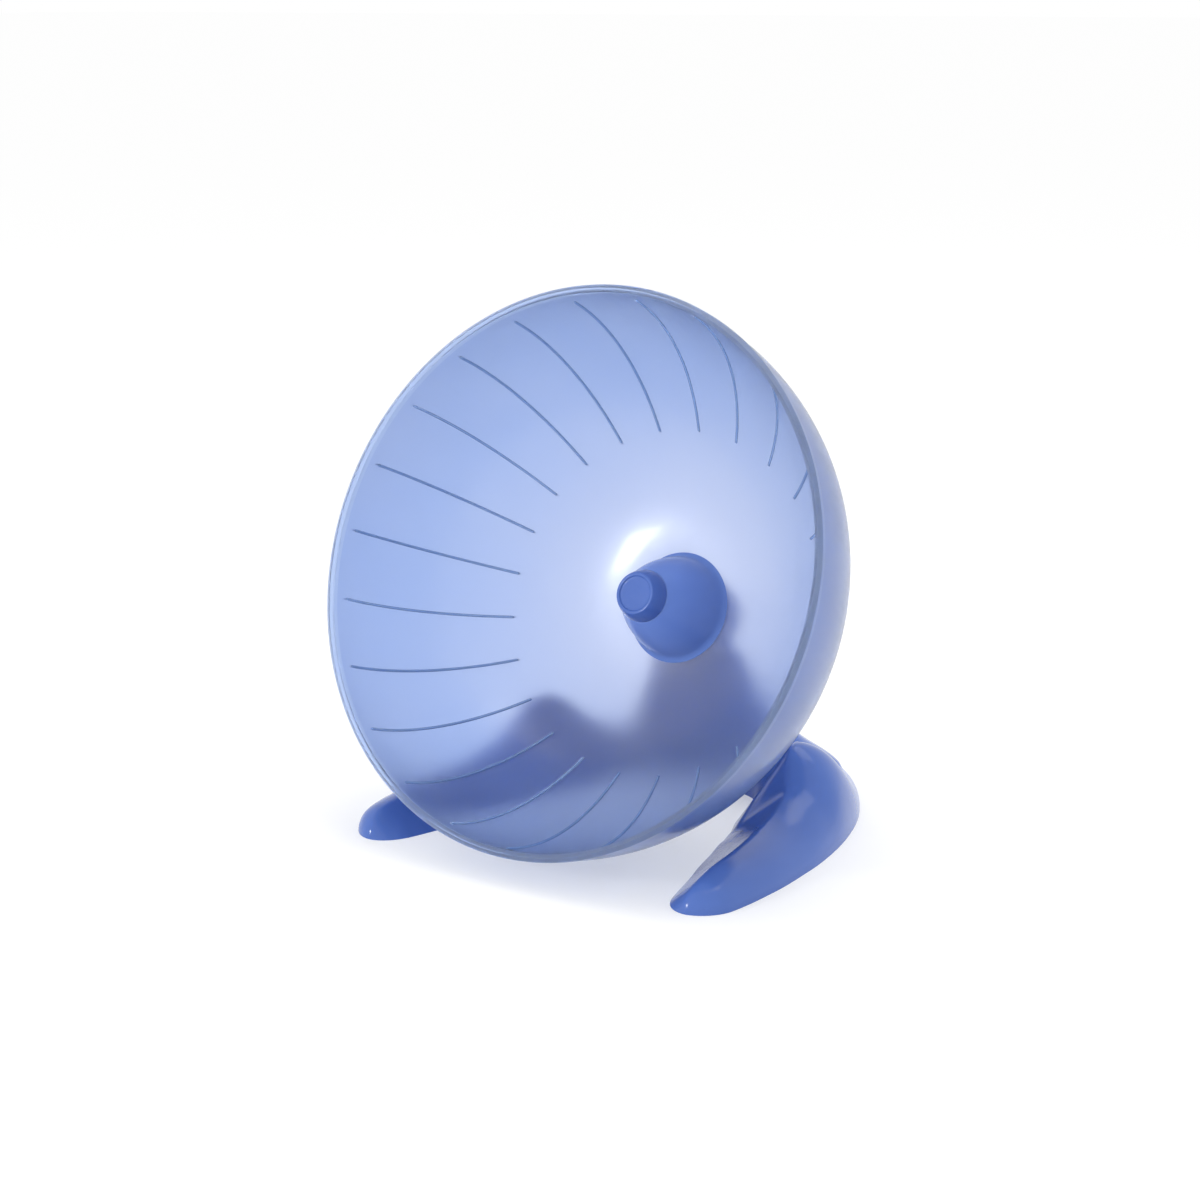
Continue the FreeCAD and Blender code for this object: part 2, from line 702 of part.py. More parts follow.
def make_lock_nut():
    """Lock nut in front of the bearings, with a round collar on its free end."""
    body = doc.addObject("PartDesign::Body", "lock_nut")
    collar_back = lock_nut_front + sheet.lock_nut_collar
    hexagon_prism(
        body, "lock_nut_flats", sheet.nut_across_flats, front_washer_front,
        sheet.lock_nut_height - sheet.lock_nut_collar)
    turn(body, "lock_nut_rim", [
        (0, -(collar_back + sheet.lock_nut_collar / 2)),
        (sheet.lock_nut_collar_radius, -(collar_back + sheet.lock_nut_collar / 2)),
        (sheet.lock_nut_collar_radius, -lock_nut_front),
        (0, -lock_nut_front),
    ])
    cut_corners(body, "lock_nut_chamfer", collar_back, 1)
    bore_through(body, "lock_nut_bore", nut_bore, lock_nut_front, front_washer_front)
    return keep(body, "lock_nut")


def make_clamp_nut():
    """Thin nut that clamps the bolt to the boss and backs the rear bearing."""
    body = doc.addObject("PartDesign::Body", "clamp_nut")
    hexagon_prism(body, "clamp_nut_flats", sheet.nut_across_flats, boss_front, sheet.clamp_nut_height)
    cut_corners(body, "clamp_nut_chamfer", rear_washer_back, 1)
    bore_through(body, "clamp_nut_bore", nut_bore, rear_washer_back, boss_front)
    return keep(body, "clamp_nut")


def make_plug():
    """Domed plug that hides the bolt's head, held by its skirt in the boss."""
    radius = sheet.plug_radius
    skirt = radius - sheet.plug_skirt_wall
    under = boss_back - sheet.plug_height
    skirt_front = under - sheet.plug_skirt_length
    sweep = sheet.plug_crown_sweep
    crown = Size(
        sweep.value - math.sqrt(sweep.value ** 2 - radius.value ** 2),
        "(%s - sqrt(%s * %s - %s * %s))" % (sweep.text, sweep.text, sweep.text, radius.text, radius.text))
    body = turned_body("rear_plug", [
        (0, -(boss_back + crown)),
        (radius, -boss_back),
        (radius, -skirt_front),
        (skirt, -skirt_front),
        (skirt, -under),
        (0, -under),
    ], {0: (sweep, 1)})
    return keep(body, "rear_plug")


def outer_edge_radius(direction):
    """Distance from the arch's centre to the stand's floor edge, found by halving the interval."""
    near = 0
    far = SIZES["stand_rear_reach"]
    half_depth = SIZES["stand_rear_reach"] - SIZES["stand_widest_reach"]
    while far - near > SIZES["stand_wall"] / 1e6:
        middle = (near + far) / 2
        across = abs(middle * math.cos(direction)) / SIZES["stand_half_width"]
        along = SIZES["arch_centre_reach"] + middle * math.sin(direction) - SIZES["stand_widest_reach"]
        if across ** PLAN_POWER_SHARE + max(along / half_depth, 0) ** PLAN_POWER_SHARE < 1:
            near = middle
        else:
            far = middle
    return near


def stand_stations():
    """Sections from the right toe round the back to the left toe.

    Each is (origin, outward direction, inner edge, crest, outer edge, crest height), with the three
    distances measured outwards from the origin.
    """
    half_width = SIZES["stand_half_width"]
    right = []
    for along, inner, crest, outer, height in LEG_SHARES:
        origin = Vector(0, along * SIZES["toe_reach"], 0)
        right.append((
            origin, Vector(1, 0, 0), inner * half_width, crest * half_width, outer * half_width,
            height * SIZES["leg_height"]))
    centre = Vector(0, SIZES["arch_centre_reach"], 0)
    for turn_share, inner, crest, height in ARCH_SHARES:
        direction = turn_share * math.pi / 2
        right.append((
            centre, Vector(math.cos(direction), math.sin(direction), 0), inner * half_width,
            crest * half_width, outer_edge_radius(direction), height * SIZES["haunch_height"]))
    left = [
        (origin, Vector(-outwards.x, outwards.y, 0), inner, crest, outer, height)
        for origin, outwards, inner, crest, outer, height in reversed(right[:-1])]
    return right + left


def section_poles(station, inner, crest, outer, height, base):
    """Corner points and curve handles of one section.

    From the inner edge up the straight slope to the crest, then over the outer face, which is
    level at the crest and upright at the outer edge.
    """
    origin, outwards = station[:2]

    def place(distance, rise):
        return origin + outwards * distance + Vector(0, 0, rise)

    return [
        place(inner, base),
        place(crest, height),
        place(crest + SWELL_SHARE * (outer - crest), height),
        place(outer, base + SWELL_SHARE * (height - base)),
        place(outer, base)]


def outer_section(station):
    """Section of the stand's outside, standing on the floor."""
    inner, crest, outer, height = station[2:]
    return section_poles(station, inner, crest, outer, height, 0)


def hollow_section(station):
    """Section of the stand's hollow: the outside drawn in by the wall and run out below the floor."""
    inner, crest, outer, height = station[2:]
    wall = SIZES["stand_wall"]
    below = -SIZES["overrun"]
    slope = math.atan2(height, crest - inner)
    along_slope = (height - wall + wall * math.cos(slope)) / math.sin(slope)
    hollow_inner = inner + (wall + below * math.cos(slope)) / math.sin(slope)
    hollow_crest = inner + along_slope * math.cos(slope) + wall * math.sin(slope)
    return section_poles(station, hollow_inner, hollow_crest, outer - wall, height - wall, below)


def guide_through(row, places):
    """Smooth curve that carries one pole of the section through every station."""
    guide = Part.BSplineCurve()
    guide.interpolate(Points=row, Parameters=places)
    return guide


def strip(guides):
    """Smooth face blended across from one guide curve to the next."""
    across = len(guides) - 1
    surface = Part.BSplineSurface()
    surface.buildFromPolesMultsKnots(
        [guide.getPoles() for guide in guides], [across + 1, across + 1], guides[0].getMultiplicities(),
        [0, 1], guides[0].getKnots(), False, False, across, guides[0].Degree)
    return surface.toShape()


def floor_face(outer, inner):
    """Flat face between the guide curves of the outer and the inner floor edges."""
    first_end = Part.makeLine(outer.StartPoint, inner.StartPoint)
    last_end = Part.makeLine(outer.EndPoint, inner.EndPoint)
    return Part.Face(Part.Wire([outer.toShape(), last_end, inner.toShape(), first_end]))


def end_face(poles):
    """Flat end across one section."""
    inner, crest, crest_handle, outer_handle, outer = poles
    curve = Part.BezierCurve()
    curve.setPoles([crest, crest_handle, outer_handle, outer])
    return Part.Face(Part.Wire([Part.makeLine(outer, inner), Part.makeLine(inner, crest), curve.toShape()]))


def skin_solid(sections):
    """Closed solid carried smoothly through sections that all have the same five poles."""
    lengths = [0]
    for before, after in zip(sections, sections[1:]):
        step = (after[1] - before[1]).Length + (after[4] - before[4]).Length
        lengths.append(lengths[-1] + step)
    places = [length / lengths[-1] for length in lengths]
    guides = [guide_through(row, places) for row in zip(*sections)]
    faces = [
        strip(guides[:2]),
        strip(guides[1:]),
        floor_face(guides[-1], guides[0]),
        end_face(sections[0]),
        end_face(sections[-1])]
    shell = Part.makeShell(faces)
    shell.sewShape()
    solid = Part.Solid(Part.Shell(shell.Faces))
    if solid.Volume < 0:
        solid.reverse()
    return solid


def level_ellipse(reach, height, half_width, half_depth):
    """Closed level ellipse, wider across the stand than along it."""
    long_half, short_half = max(half_width, half_depth), min(half_width, half_depth)
    axis = Vector(1, 0, 0) if half_width >= half_depth else Vector(0, 1, 0)
    centre = Vector(0, reach, height)
    across = Vector(0, 0, 1).cross(axis)
    ellipse = Part.Ellipse(centre + axis * long_half, centre + across * short_half, centre)
    return Part.Wire([ellipse.toShape()])


def neck_wires(wall, top_share):
    """Level sections of the neck up to a share of the boss's height, drawn in by a wall."""
    boss_middle = (boss_front.value + boss_back.value) / 2
    boss_reach = boss_middle * math.cos(TILT)
    boss_height = RIM_HEIGHT - boss_middle * math.sin(TILT)
    return [
        level_ellipse(
            boss_reach + back * SIZES["neck_setback"], height * boss_height,
            wide * SIZES["neck_half_width"] - wall, deep * SIZES["neck_half_depth"] - wall)
        for height, back, wide, deep in NECK_SHARES if height <= top_share]


def feature_of(name, shape):
    feature = doc.addObject("Part::Feature", name)
    feature.Shape = shape
    return feature


def make_stand():
    """Moulded stand: a horseshoe of two legs and a rear arch, a neck, and the boss that holds the axle."""
    stations = stand_stations()
    solid_toe = TOE_SOLID_SHARE * SIZES["toe_reach"]
    hollow_stations = [item for item in stations if item[0].y > solid_toe]
    horseshoe = feature_of("horseshoe", skin_solid([outer_section(item) for item in stations]))
    hollow = feature_of("horseshoe_hollow", skin_solid([hollow_section(item) for item in hollow_stations]))
    neck = feature_of("neck", Part.makeLoft(neck_wires(0, NECK_SHARES[-1][0]), True, False))
    neck_hollow = feature_of(
        "neck_hollow", Part.makeLoft(neck_wires(SIZES["stand_wall"], NECK_HOLLOW_SHARE), True, False))
    wheel_from_stand = STAND_PLACEMENT.inverse().multiply(WHEEL_PLACEMENT)
    boss = turned_body("stand_boss", [
        (0, -boss_back),
        (sheet.boss_radius - sheet.boss_edge, -boss_back),
        (sheet.boss_radius, -(boss_back - sheet.boss_edge)),
        (sheet.boss_radius, -boss_front),
        (0, -boss_front),
    ], {1: (sheet.boss_edge, 1)})
    boss.Placement = wheel_from_stand
    bore = sheet.axle_radius + sheet.boss_bore_fit
    recess = sheet.plug_radius + sheet.plug_fit
    boss_hollow = turned_body("boss_hollow", [
        (0, -(boss_back + sheet.overrun)),
        (recess, -(boss_back + sheet.overrun)),
        (recess, -boss_seat),
        (bore, -boss_seat),
        (bore, -(boss_front - sheet.overrun)),
        (0, -(boss_front - sheet.overrun)),
    ])
    boss_hollow.Placement = wheel_from_stand
    face_radius = sheet.boss_radius + sheet.boss_face_margin
    face_front = housing_back - sheet.shoulder_width
    boss_face = turned_body("boss_face_cut", [
        (0, -boss_front), (face_radius, -boss_front), (face_radius, -face_front), (0, -face_front)])
    boss_face.Placement = wheel_from_stand
    cuts = doc.addObject("Part::MultiFuse", "boss_cuts")
    cuts.Shapes = [boss_hollow, boss_face]
    outside = doc.addObject("Part::MultiFuse", "stand_outside")
    outside.Shapes = [horseshoe, neck, boss]
    inside = doc.addObject("Part::MultiFuse", "stand_inside")
    inside.Shapes = [hollow, neck_hollow]
    shell = doc.addObject("Part::Cut", "stand_hollowed")
    shell.Base = outside
    shell.Tool = inside
    stand = doc.addObject("Part::Cut", "stand_shell")
    stand.Base = shell
    stand.Tool = cuts
    return keep(stand, "stand_shell", STAND_PLACEMENT)


def write_nodes():
    """Check every object and every piece, then write each piece to its own file."""
    doc.recompute()
    failed = [item.Name for item in doc.Objects if "Invalid" in item.State or "Error" in item.State]
    for node in NODES:
        if node.Shape.isNull() or not node.Shape.isValid() or not node.Shape.Solids:
            failed.append(node.Label)
    if failed:
        raise RuntimeError("objects that did not build: " + ", ".join(failed))
    os.makedirs("parts", exist_ok=True)
    for node in NODES:
        node.Shape.exportStep("parts/%s.step" % node.Label)
        print("%-24s %3d solids %10.2f mm3" % (node.Label, len(node.Shape.Solids), node.Shape.Volume))


make_stand()
make_axle_bolt()
plain_ring(
    "bolt_washer", sheet.axle_radius + sheet.boss_bore_fit, sheet.bolt_washer_radius, boss_seat, bolt_washer_back)
make_clamp_nut()
plain_ring(
    "rear_spacer_washer", nut_bore, sheet.spacer_washer_radius, rear_bearing_back, rear_washer_back)
make_bearing("rear", rear_bearing_front)
plain_ring("inner_ring_sleeve", nut_bore, sheet.sleeve_radius, front_bearing_back, rear_bearing_front)
make_bearing("front", front_bearing_front)
plain_ring(
    "front_spacer_washer", nut_bore, sheet.spacer_washer_radius, front_washer_front, front_bearing_front)
make_lock_nut()
make_plug()
make_bowl()
make_clip()
make_cone()
make_cap()
write_nodes()
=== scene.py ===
"""Looks of a rodent exercise wheel: a milky running bowl with a blue nose cone on a blue moulded stand.

Metres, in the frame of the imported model: +Z up, the floor at Z = 0, the bowl opens towards -Y.
The wheel's own frame has its origin in the middle of the rim plane; its axis points out of the bowl's
mouth, so a depth into the bowl is a negative height along that axis.
"""

import json
import logging
import math
from dataclasses import dataclass, field
from enum import Enum

import bmesh
import bpy
import numpy as np
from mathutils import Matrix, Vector


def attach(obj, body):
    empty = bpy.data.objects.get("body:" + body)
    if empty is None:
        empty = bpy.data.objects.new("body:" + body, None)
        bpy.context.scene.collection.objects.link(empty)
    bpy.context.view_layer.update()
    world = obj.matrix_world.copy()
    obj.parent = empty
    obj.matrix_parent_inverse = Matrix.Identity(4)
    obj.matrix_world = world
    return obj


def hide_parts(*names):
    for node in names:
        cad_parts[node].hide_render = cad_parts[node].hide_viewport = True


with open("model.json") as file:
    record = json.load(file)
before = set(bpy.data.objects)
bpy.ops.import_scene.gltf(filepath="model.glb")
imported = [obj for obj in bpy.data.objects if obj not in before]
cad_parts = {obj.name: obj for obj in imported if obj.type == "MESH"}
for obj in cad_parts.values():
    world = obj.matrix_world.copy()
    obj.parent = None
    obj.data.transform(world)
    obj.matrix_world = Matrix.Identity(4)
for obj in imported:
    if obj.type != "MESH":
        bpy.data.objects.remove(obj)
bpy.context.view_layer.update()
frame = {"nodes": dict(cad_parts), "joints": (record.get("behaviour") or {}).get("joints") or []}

LOG = logging.getLogger("exercise_wheel")
MM = 0.001
STEP = 1.5 * MM
CREASE_ANGLE = math.radians(28.0)
ROUND_POINTS = 7
SAME_POINT = 1e-7
SAME_SOLID_POINT = 1e-6
MID_NOISE = (0.3, 0.7)


class Body(Enum):
    """Rigid bodies of the model that pieces ride on."""

    STAND = "stand"
    WHEEL = "wheel"


class Slot(Enum):
    """Material slots of the record that the new pieces stand for."""

    WHEEL_PLASTIC = "wheel_plastic"
    STAND_PLASTIC = "stand_plastic"


@dataclass(frozen=True)
class WheelFrame:
    """The wheel's own axes in the model's frame."""

    origin: np.ndarray
    across: np.ndarray
    upwards: np.ndarray
    outwards: np.ndarray

    @classmethod
    def from_joint(cls, name: str) -> "WheelFrame":
        """Axes read from the joint that turns the wheel.

        Args:
            name: the joint's name in the record.

        Returns:
            The frame whose third axis is the joint's and whose first is level.
        """
        joint = next(item for item in frame["joints"] if item["name"] == name)
        outwards = np.array(joint["axis"], float)
        outwards /= np.linalg.norm(outwards)
        across = np.array([1.0, 0.0, 0.0])
        return cls(np.array(joint["pos_m"], float), across, np.cross(outwards, across), outwards)

    def place(self, points: np.ndarray) -> np.ndarray:
        """Points of the wheel's frame in the model's frame: origin plus the sum of coordinate times axis."""
        return self.origin + points @ np.stack([self.across, self.upwards, self.outwards])

    @property
    def tilt(self) -> float:
        """Angle about X that turns the model's Z axis onto the wheel's axis."""
        return math.atan2(-self.outwards[1], self.outwards[2])


WHEEL = WheelFrame.from_joint("wheel_spin")


def arc_between(start: np.ndarray, finish: np.ndarray, radius: float, side: int, count: int) -> np.ndarray:
    """Points of an arc from start to finish.

    The centre lies on the chord's perpendicular bisector, at the root of radius squared less half the
    chord squared, and the angle runs evenly from one end to the other.

    Args:
        start: first point.
        finish: last point.
        radius: the arc's radius.
        side: +1 where the arc bulges to the right of the way from start to finish, else -1.
        count: number of steps.

    Returns:
        count points, the last one left out.
    """
    chord = finish - start
    length = np.hypot(*chord)
    normal = np.array([-chord[1], chord[0]]) / length
    centre = start + chord / 2 + normal * side * math.sqrt(radius ** 2 - length ** 2 / 4)
    first = math.atan2(*(start - centre)[::-1])
    sweep = 2 * math.asin(length / 2 / radius) * side
    angles = first + sweep * np.arange(count) / count
    return centre + radius * np.stack([np.cos(angles), np.sin(angles)], axis=1)


def outline(corners: list, arcs: dict, rounds: dict, closed: bool = True) -> np.ndarray:
    """Half section of a turned piece as evenly spaced points.

    Each edge is a straight line or an arc. At a rounded corner the line is cut back by the corner's size
    on both sides and joined by a quadratic curve: (1-t)^2 start + 2t(1-t) corner + t^2 end.

    Args:
        corners: (radius, height) pairs.
        arcs: edge number to (radius, side).
        rounds: corner number to the length cut back on either side.
        closed: whether the last corner joins the first.

    Returns:
        An array of (radius, height) rows.
    """
    points = np.array(corners, float)
    edges = len(points) if closed else len(points) - 1
    runs = []
    for index in range(edges):
        start, finish = points[index], points[(index + 1) % len(points)]
        count = max(2, int(np.ceil(np.hypot(*(finish - start)) / STEP)))
        if index in arcs:
            runs.append(arc_between(start, finish, *arcs[index], count))
        else:
            runs.append(start + (finish - start) * (np.arange(count) / count)[:, None])
    pieces = []
    for index, run in enumerate(runs):
        following = (index + 1) % len(points)
        whole = np.vstack([run, points[following]])
        reach = np.concatenate([[0], np.cumsum(np.hypot(*np.diff(whole, axis=0).T))])
        first = rounds.get(index, 0.0)
        last = reach[-1] - rounds.get(following, 0.0)
        inner = reach[(reach > first + SAME_POINT) & (reach < last - SAME_POINT)]
        stops = np.concatenate([[first], inner, [last]])
        kept = np.stack([np.interp(stops, reach, whole[:, axis]) for axis in (0, 1)], axis=1)
        pieces.append(kept)
    joined = []
    for index, piece in enumerate(pieces):
        joined.append(piece)
        following = (index + 1) % len(points)
        if following in rounds and (closed or index + 1 < len(pieces)):
            share = np.linspace(0, 1, ROUND_POINTS)[1:-1, None]
            end = pieces[(index + 1) % len(pieces)][0]
            joined.append(
                (1 - share) ** 2 * piece[-1] + 2 * share * (1 - share) * points[following] + share ** 2 * end)
    line = np.vstack(joined)
    apart = np.hypot(*np.diff(line, axis=0).T) > SAME_POINT
    return line[np.concatenate([[True], apart])]


def turned_grid(section: np.ndarray, count: int) -> np.ndarray:
    """Surface of revolution about the wheel's axis.

    A point at angle a is (radius cos a, radius sin a, height), for count even angles.

    Args:
        section: (radius, height) rows.
        count: steps round the axis.

    Returns:
        An array of count by rows by 3 in the model's frame.
    """
    angle = np.arange(count) * (2 * math.pi / count)
    around = np.stack([np.cos(angle), np.sin(angle)], axis=1)
    ring = section[None, :, 0, None] * around[:, None, :]
    height = np.broadcast_to(section[None, :, 1, None], ring.shape[:2] + (1,))
    return WHEEL.place(np.concatenate([ring, height], axis=2))


def grid_faces(rows: int, columns: int, wrap_rows: bool, wrap_columns: bool) -> np.ndarray:
    """Quads of a grid whose point (i, j) has number i * columns + j, joined round where it wraps."""
    i = np.arange(rows if wrap_rows else rows - 1)[:, None]
    j = np.arange(columns if wrap_columns else columns - 1)[None, :]
    after_i, after_j = (i + 1) % rows, (j + 1) % columns
    corners = [i * columns + j, after_i * columns + j, after_i * columns + after_j, i * columns + after_j]
    return np.stack(np.broadcast_arrays(*corners), axis=2).reshape(-1, 4)


def mesh_from(name: str, points: np.ndarray, faces: np.ndarray) -> bpy.types.Mesh:
    """Closed mesh from arrays, with its doubled points merged and its faces turned outwards.

    Args:
        name: the mesh's name.
        points: rows of x, y, z.
        faces: rows of four point numbers.

    Returns:
        The mesh, smooth but for creases sharper than CREASE_ANGLE.
    """
    mesh = bpy.data.meshes.new(name)
    mesh.vertices.add(len(points))
    mesh.vertices.foreach_set("co", points.astype(np.float32).ravel())
    mesh.loops.add(faces.size)
    mesh.loops.foreach_set("vertex_index", faces.astype(np.int32).ravel())
    mesh.polygons.add(len(faces))
    mesh.polygons.foreach_set("loop_start", np.arange(0, faces.size, 4, dtype=np.int32))
    mesh.update(calc_edges=True)
    clean = bmesh.new()
    clean.from_mesh(mesh)
    bmesh.ops.remove_doubles(clean, verts=clean.verts, dist=SAME_POINT)
    bmesh.ops.recalc_face_normals(clean, faces=clean.faces)
    clean.to_mesh(mesh)
    clean.free()
    smooth(mesh)
    return mesh


def smooth(mesh: bpy.types.Mesh) -> None:
    """Shade a mesh smooth, with a crease wherever two faces meet more sharply than CREASE_ANGLE."""
    mesh.shade_smooth()
    mesh.set_sharp_from_angle(angle=CREASE_ANGLE)


def add_piece(mesh: bpy.types.Mesh, material: bpy.types.Material, body: Body, slot: Slot, *nodes: str) -> None:
    """Put a finished mesh into the scene as one piece.

    Args:
        mesh: the piece's mesh, already in place; the piece takes its name.
        material: its finish.
        body: what it rides on.
        slot: the record's slot that it stands for; not used.
        nodes: solids that it replaces.
    """
    piece = bpy.data.objects.new(mesh.name, mesh)
    bpy.context.scene.collection.objects.link(piece)
    mesh.materials.clear()
    mesh.materials.append(material)
    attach(piece, body.value)
    if nodes:
        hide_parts(*nodes)
    LOG.info("%s: %d faces", mesh.name, len(mesh.polygons))


def turned_piece(name: str, section: np.ndarray, count: int, closed: bool) -> bpy.types.Mesh:
    """Mesh of a turned piece from its half section, either a closed ring or one that ends on the axis."""
    grid = turned_grid(section, count)
    faces = grid_faces(count, len(section), True, closed)
    return mesh_from(name, grid.reshape(-1, 3), faces)


class Shader:
    """Short way to write a material's nodes; the mix node's colour sockets go by number, not by name."""

    MIX_COLOURS = (6, 7)
    MIX_RESULT = 2

    def __init__(self, name: str) -> None:
        """Start an empty material with one output and one shader."""
        self.material = bpy.data.materials.new(name)
        self.material.use_nodes = True
        self.tree = self.material.node_tree
        self.tree.nodes.clear()
        self.output = self.node("ShaderNodeOutputMaterial")
        self.surface = self.node("ShaderNodeBsdfPrincipled")
        self.link(self.surface.outputs["BSDF"], self.output.inputs["Surface"])

    def node(self, kind: str, **settings: object) -> bpy.types.Node:
        """Add a node and set its own properties."""
        made = self.tree.nodes.new(kind)
        for key, value in settings.items():
            setattr(made, key, value)
        return made

    def link(self, source: bpy.types.NodeSocket, target: bpy.types.NodeSocket) -> None:
        """Join two sockets."""
        self.tree.links.new(source, target)

    def coordinates(self, wheel: bool = False) -> bpy.types.NodeSocket:
        """Object coordinates, in the wheel's own frame if asked.

        Args:
            wheel: turn and shift the coordinates into the wheel's frame.

        Returns:
            The vector socket.
        """
        source = self.node("ShaderNodeTexCoord").outputs["Object"]
        if not wheel:
            return source
        axes = np.stack([WHEEL.across, WHEEL.upwards, WHEEL.outwards])
        mapping = self.node("ShaderNodeMapping", vector_type="POINT")
        mapping.inputs["Rotation"].default_value = (-WHEEL.tilt, 0, 0)
        mapping.inputs["Location"].default_value = tuple(-(axes @ WHEEL.origin))
        self.link(source, mapping.inputs["Vector"])
        return mapping.outputs["Vector"]

    def noise(self, vector: bpy.types.NodeSocket, cell: float, octaves: float) -> bpy.types.NodeSocket:
        """Fractal noise between 0 and 1.

        Args:
            vector: coordinates.
            cell: size of its largest features, in metres.
            octaves: how many finer layers it has.

        Returns:
            The value socket.
        """
        made = self.node("ShaderNodeTexNoise", noise_dimensions="3D")
        made.inputs["Scale"].default_value = 1 / cell
        made.inputs["Detail"].default_value = octaves
        self.link(vector, made.inputs["Vector"])
        return made.outputs["Fac"]

    def stretched(self, vector: bpy.types.NodeSocket, scale: tuple) -> bpy.types.NodeSocket:
        """Coordinates multiplied axis by axis."""
        made = self.node("ShaderNodeVectorMath", operation="MULTIPLY")
        made.inputs[1].default_value = scale
        self.link(vector, made.inputs[0])
        return made.outputs["Vector"]

    def span(self, value: bpy.types.NodeSocket, source: tuple, target: tuple) -> bpy.types.NodeSocket:
        """Map one range of values onto another, clamped."""
        made = self.node("ShaderNodeMapRange", interpolation_type="SMOOTHSTEP")
        for key, number in zip(("From Min", "From Max", "To Min", "To Max"), source + target):
            made.inputs[key].default_value = number
        self.link(value, made.inputs["Value"])
        return made.outputs["Result"]

    def radius(self, vector: bpy.types.NodeSocket) -> bpy.types.NodeSocket:
        """Distance of coordinates in the wheel's frame from the wheel's axis."""
        length = self.node("ShaderNodeVectorMath", operation="LENGTH")
        self.link(self.stretched(vector, (1.0, 1.0, 0.0)), length.inputs[0])
        return length.outputs["Value"]

    def joined(self, operation: str, first: bpy.types.NodeSocket, second: object) -> bpy.types.NodeSocket:
        """Join two values by an operation; the second is a socket or a plain number."""
        made = self.node("ShaderNodeMath", operation=operation)
        self.link(first, made.inputs[0])
        if isinstance(second, float):
            made.inputs[1].default_value = second
        else:
            self.link(second, made.inputs[1])
        return made.outputs["Value"]

    def mixed(self, share: bpy.types.NodeSocket, first: object, second: object) -> bpy.types.NodeSocket:
        """Mix two colours, each a socket or a plain colour, by a share."""
        made = self.node("ShaderNodeMix", data_type="RGBA")
        self.link(share, made.inputs["Factor"])
        for key, colour in zip(self.MIX_COLOURS, (first, second)):
            if isinstance(colour, tuple):
                made.inputs[key].default_value = (*colour, 1.0)
            else:
                self.link(colour, made.inputs[key])
        return made.outputs[self.MIX_RESULT]

    def feed(self, name: str, value: bpy.types.NodeSocket) -> None:
        """Lead a value into the shader's own socket of that name."""
        self.link(value, self.surface.inputs[name])

    def bump(self, height: bpy.types.NodeSocket, distance: float, strength: float = 1.0) -> None:
        """Raise the surface by a height value times a distance in metres."""
        made = self.node("ShaderNodeBump")
        made.inputs["Strength"].default_value = strength
        made.inputs["Distance"].default_value = distance
        self.link(height, made.inputs["Height"])
        self.feed("Normal", made.outputs["Normal"])

    def set(self, **values: object) -> None:
        """Set the shader's own sockets: a socket's name in capitals and underscores made plain words."""
        for key, value in values.items():
            socket = self.surface.inputs[key.replace("_", " ")]
            socket.default_value = (*value, 1.0) if isinstance(value, tuple) and len(value) == 3 \
                and socket.type == "RGBA" else value


@dataclass(frozen=True)
class BowlPlastic:
    """Milky periwinkle polypropylene, deeper towards the rim, pale at the lip as a painted highlight, with
    marks of small feet.
    """

    name: str = "bowl_plastic"
    rim_colour: tuple = (0.385, 0.513, 0.86)
    middle_colour: tuple = (0.52, 0.60, 0.85)
    cloud_colour: tuple = (0.60, 0.67, 0.88)
    # Painted highlight: the paler colour of the last stretch of depth at the lip.
    lip_painted_highlight: tuple = (0.50, 0.63, 0.94)
    middle_radius: float = 0.022
    rim_radius: float = 0.098
    soft_octaves: float = 2.0
    cloud_cell: float = 0.06
    cloud_share: float = 0.15
    lip_depth: float = 2.0 * MM
    lip_blend: float = 0.6 * MM
    scuff_cell: float = 0.0022
    scuff_octaves: float = 6.0
    scuff_stretch: float = 0.25
    scuff_band: tuple = (0.35, 0.75)
    haze: float = 0.29
    haze_spread: float = 0.06
    wave_cell: float = 0.012
    wave_height: float = 0.05 * MM
    wave_strength: float = 0.5
    clear_share: float = 0.90
    bending: float = 1.49
    milk_share: float = 1.0
    milk_depth: float = 4.0 * MM
    milk_reach: tuple = (0.8, 0.9, 1.0)
    gloss: float = 0.3
    coat: float = 0.25
    coat_haze: float = 0.12

    def build(self) -> bpy.types.Material:
        """The material, with its colour graded by the distance from the wheel's axis."""
        shader = Shader(self.name)
        vector = shader.coordinates(wheel=True)
        share = shader.span(shader.radius(vector), (self.middle_radius, self.rim_radius), (0.0, 1.0))
        graded = shader.mixed(share, self.middle_colour, self.rim_colour)
        mist = shader.noise(vector, self.cloud_cell, self.soft_octaves)
        cloud = shader.span(mist, MID_NOISE, (0.0, self.cloud_share))
        clouded = shader.mixed(cloud, graded, self.cloud_colour)
        apart = shader.node("ShaderNodeSeparateXYZ")
        shader.link(vector, apart.inputs["Vector"])
        # Painted highlight: the last stretch of depth at the lip is drawn paler, for the light line along the
        # lip.
        lip = shader.span(apart.outputs["Z"], (-self.lip_depth - self.lip_blend, -self.lip_depth), (0.0, 1.0))
        shader.feed("Base Color", shader.mixed(lip, clouded, self.lip_painted_highlight))
        drawn = shader.stretched(vector, (1.0, 1.0, self.scuff_stretch))
        scuff = shader.noise(drawn, self.scuff_cell, self.scuff_octaves)
        shader.feed("Roughness", shader.span(scuff, self.scuff_band, (self.haze, self.haze + self.haze_spread)))
        waves = shader.noise(vector, self.wave_cell, self.soft_octaves)
        shader.bump(waves, self.wave_height, self.wave_strength)
        shader.set(
            Transmission_Weight=self.clear_share, IOR=self.bending, Subsurface_Weight=self.milk_share,
            Subsurface_Scale=self.milk_depth, Subsurface_Radius=self.milk_reach,
            Specular_IOR_Level=self.gloss, Coat_Weight=self.coat, Coat_Roughness=self.coat_haze,
            Coat_IOR=self.bending)
        return shader.material


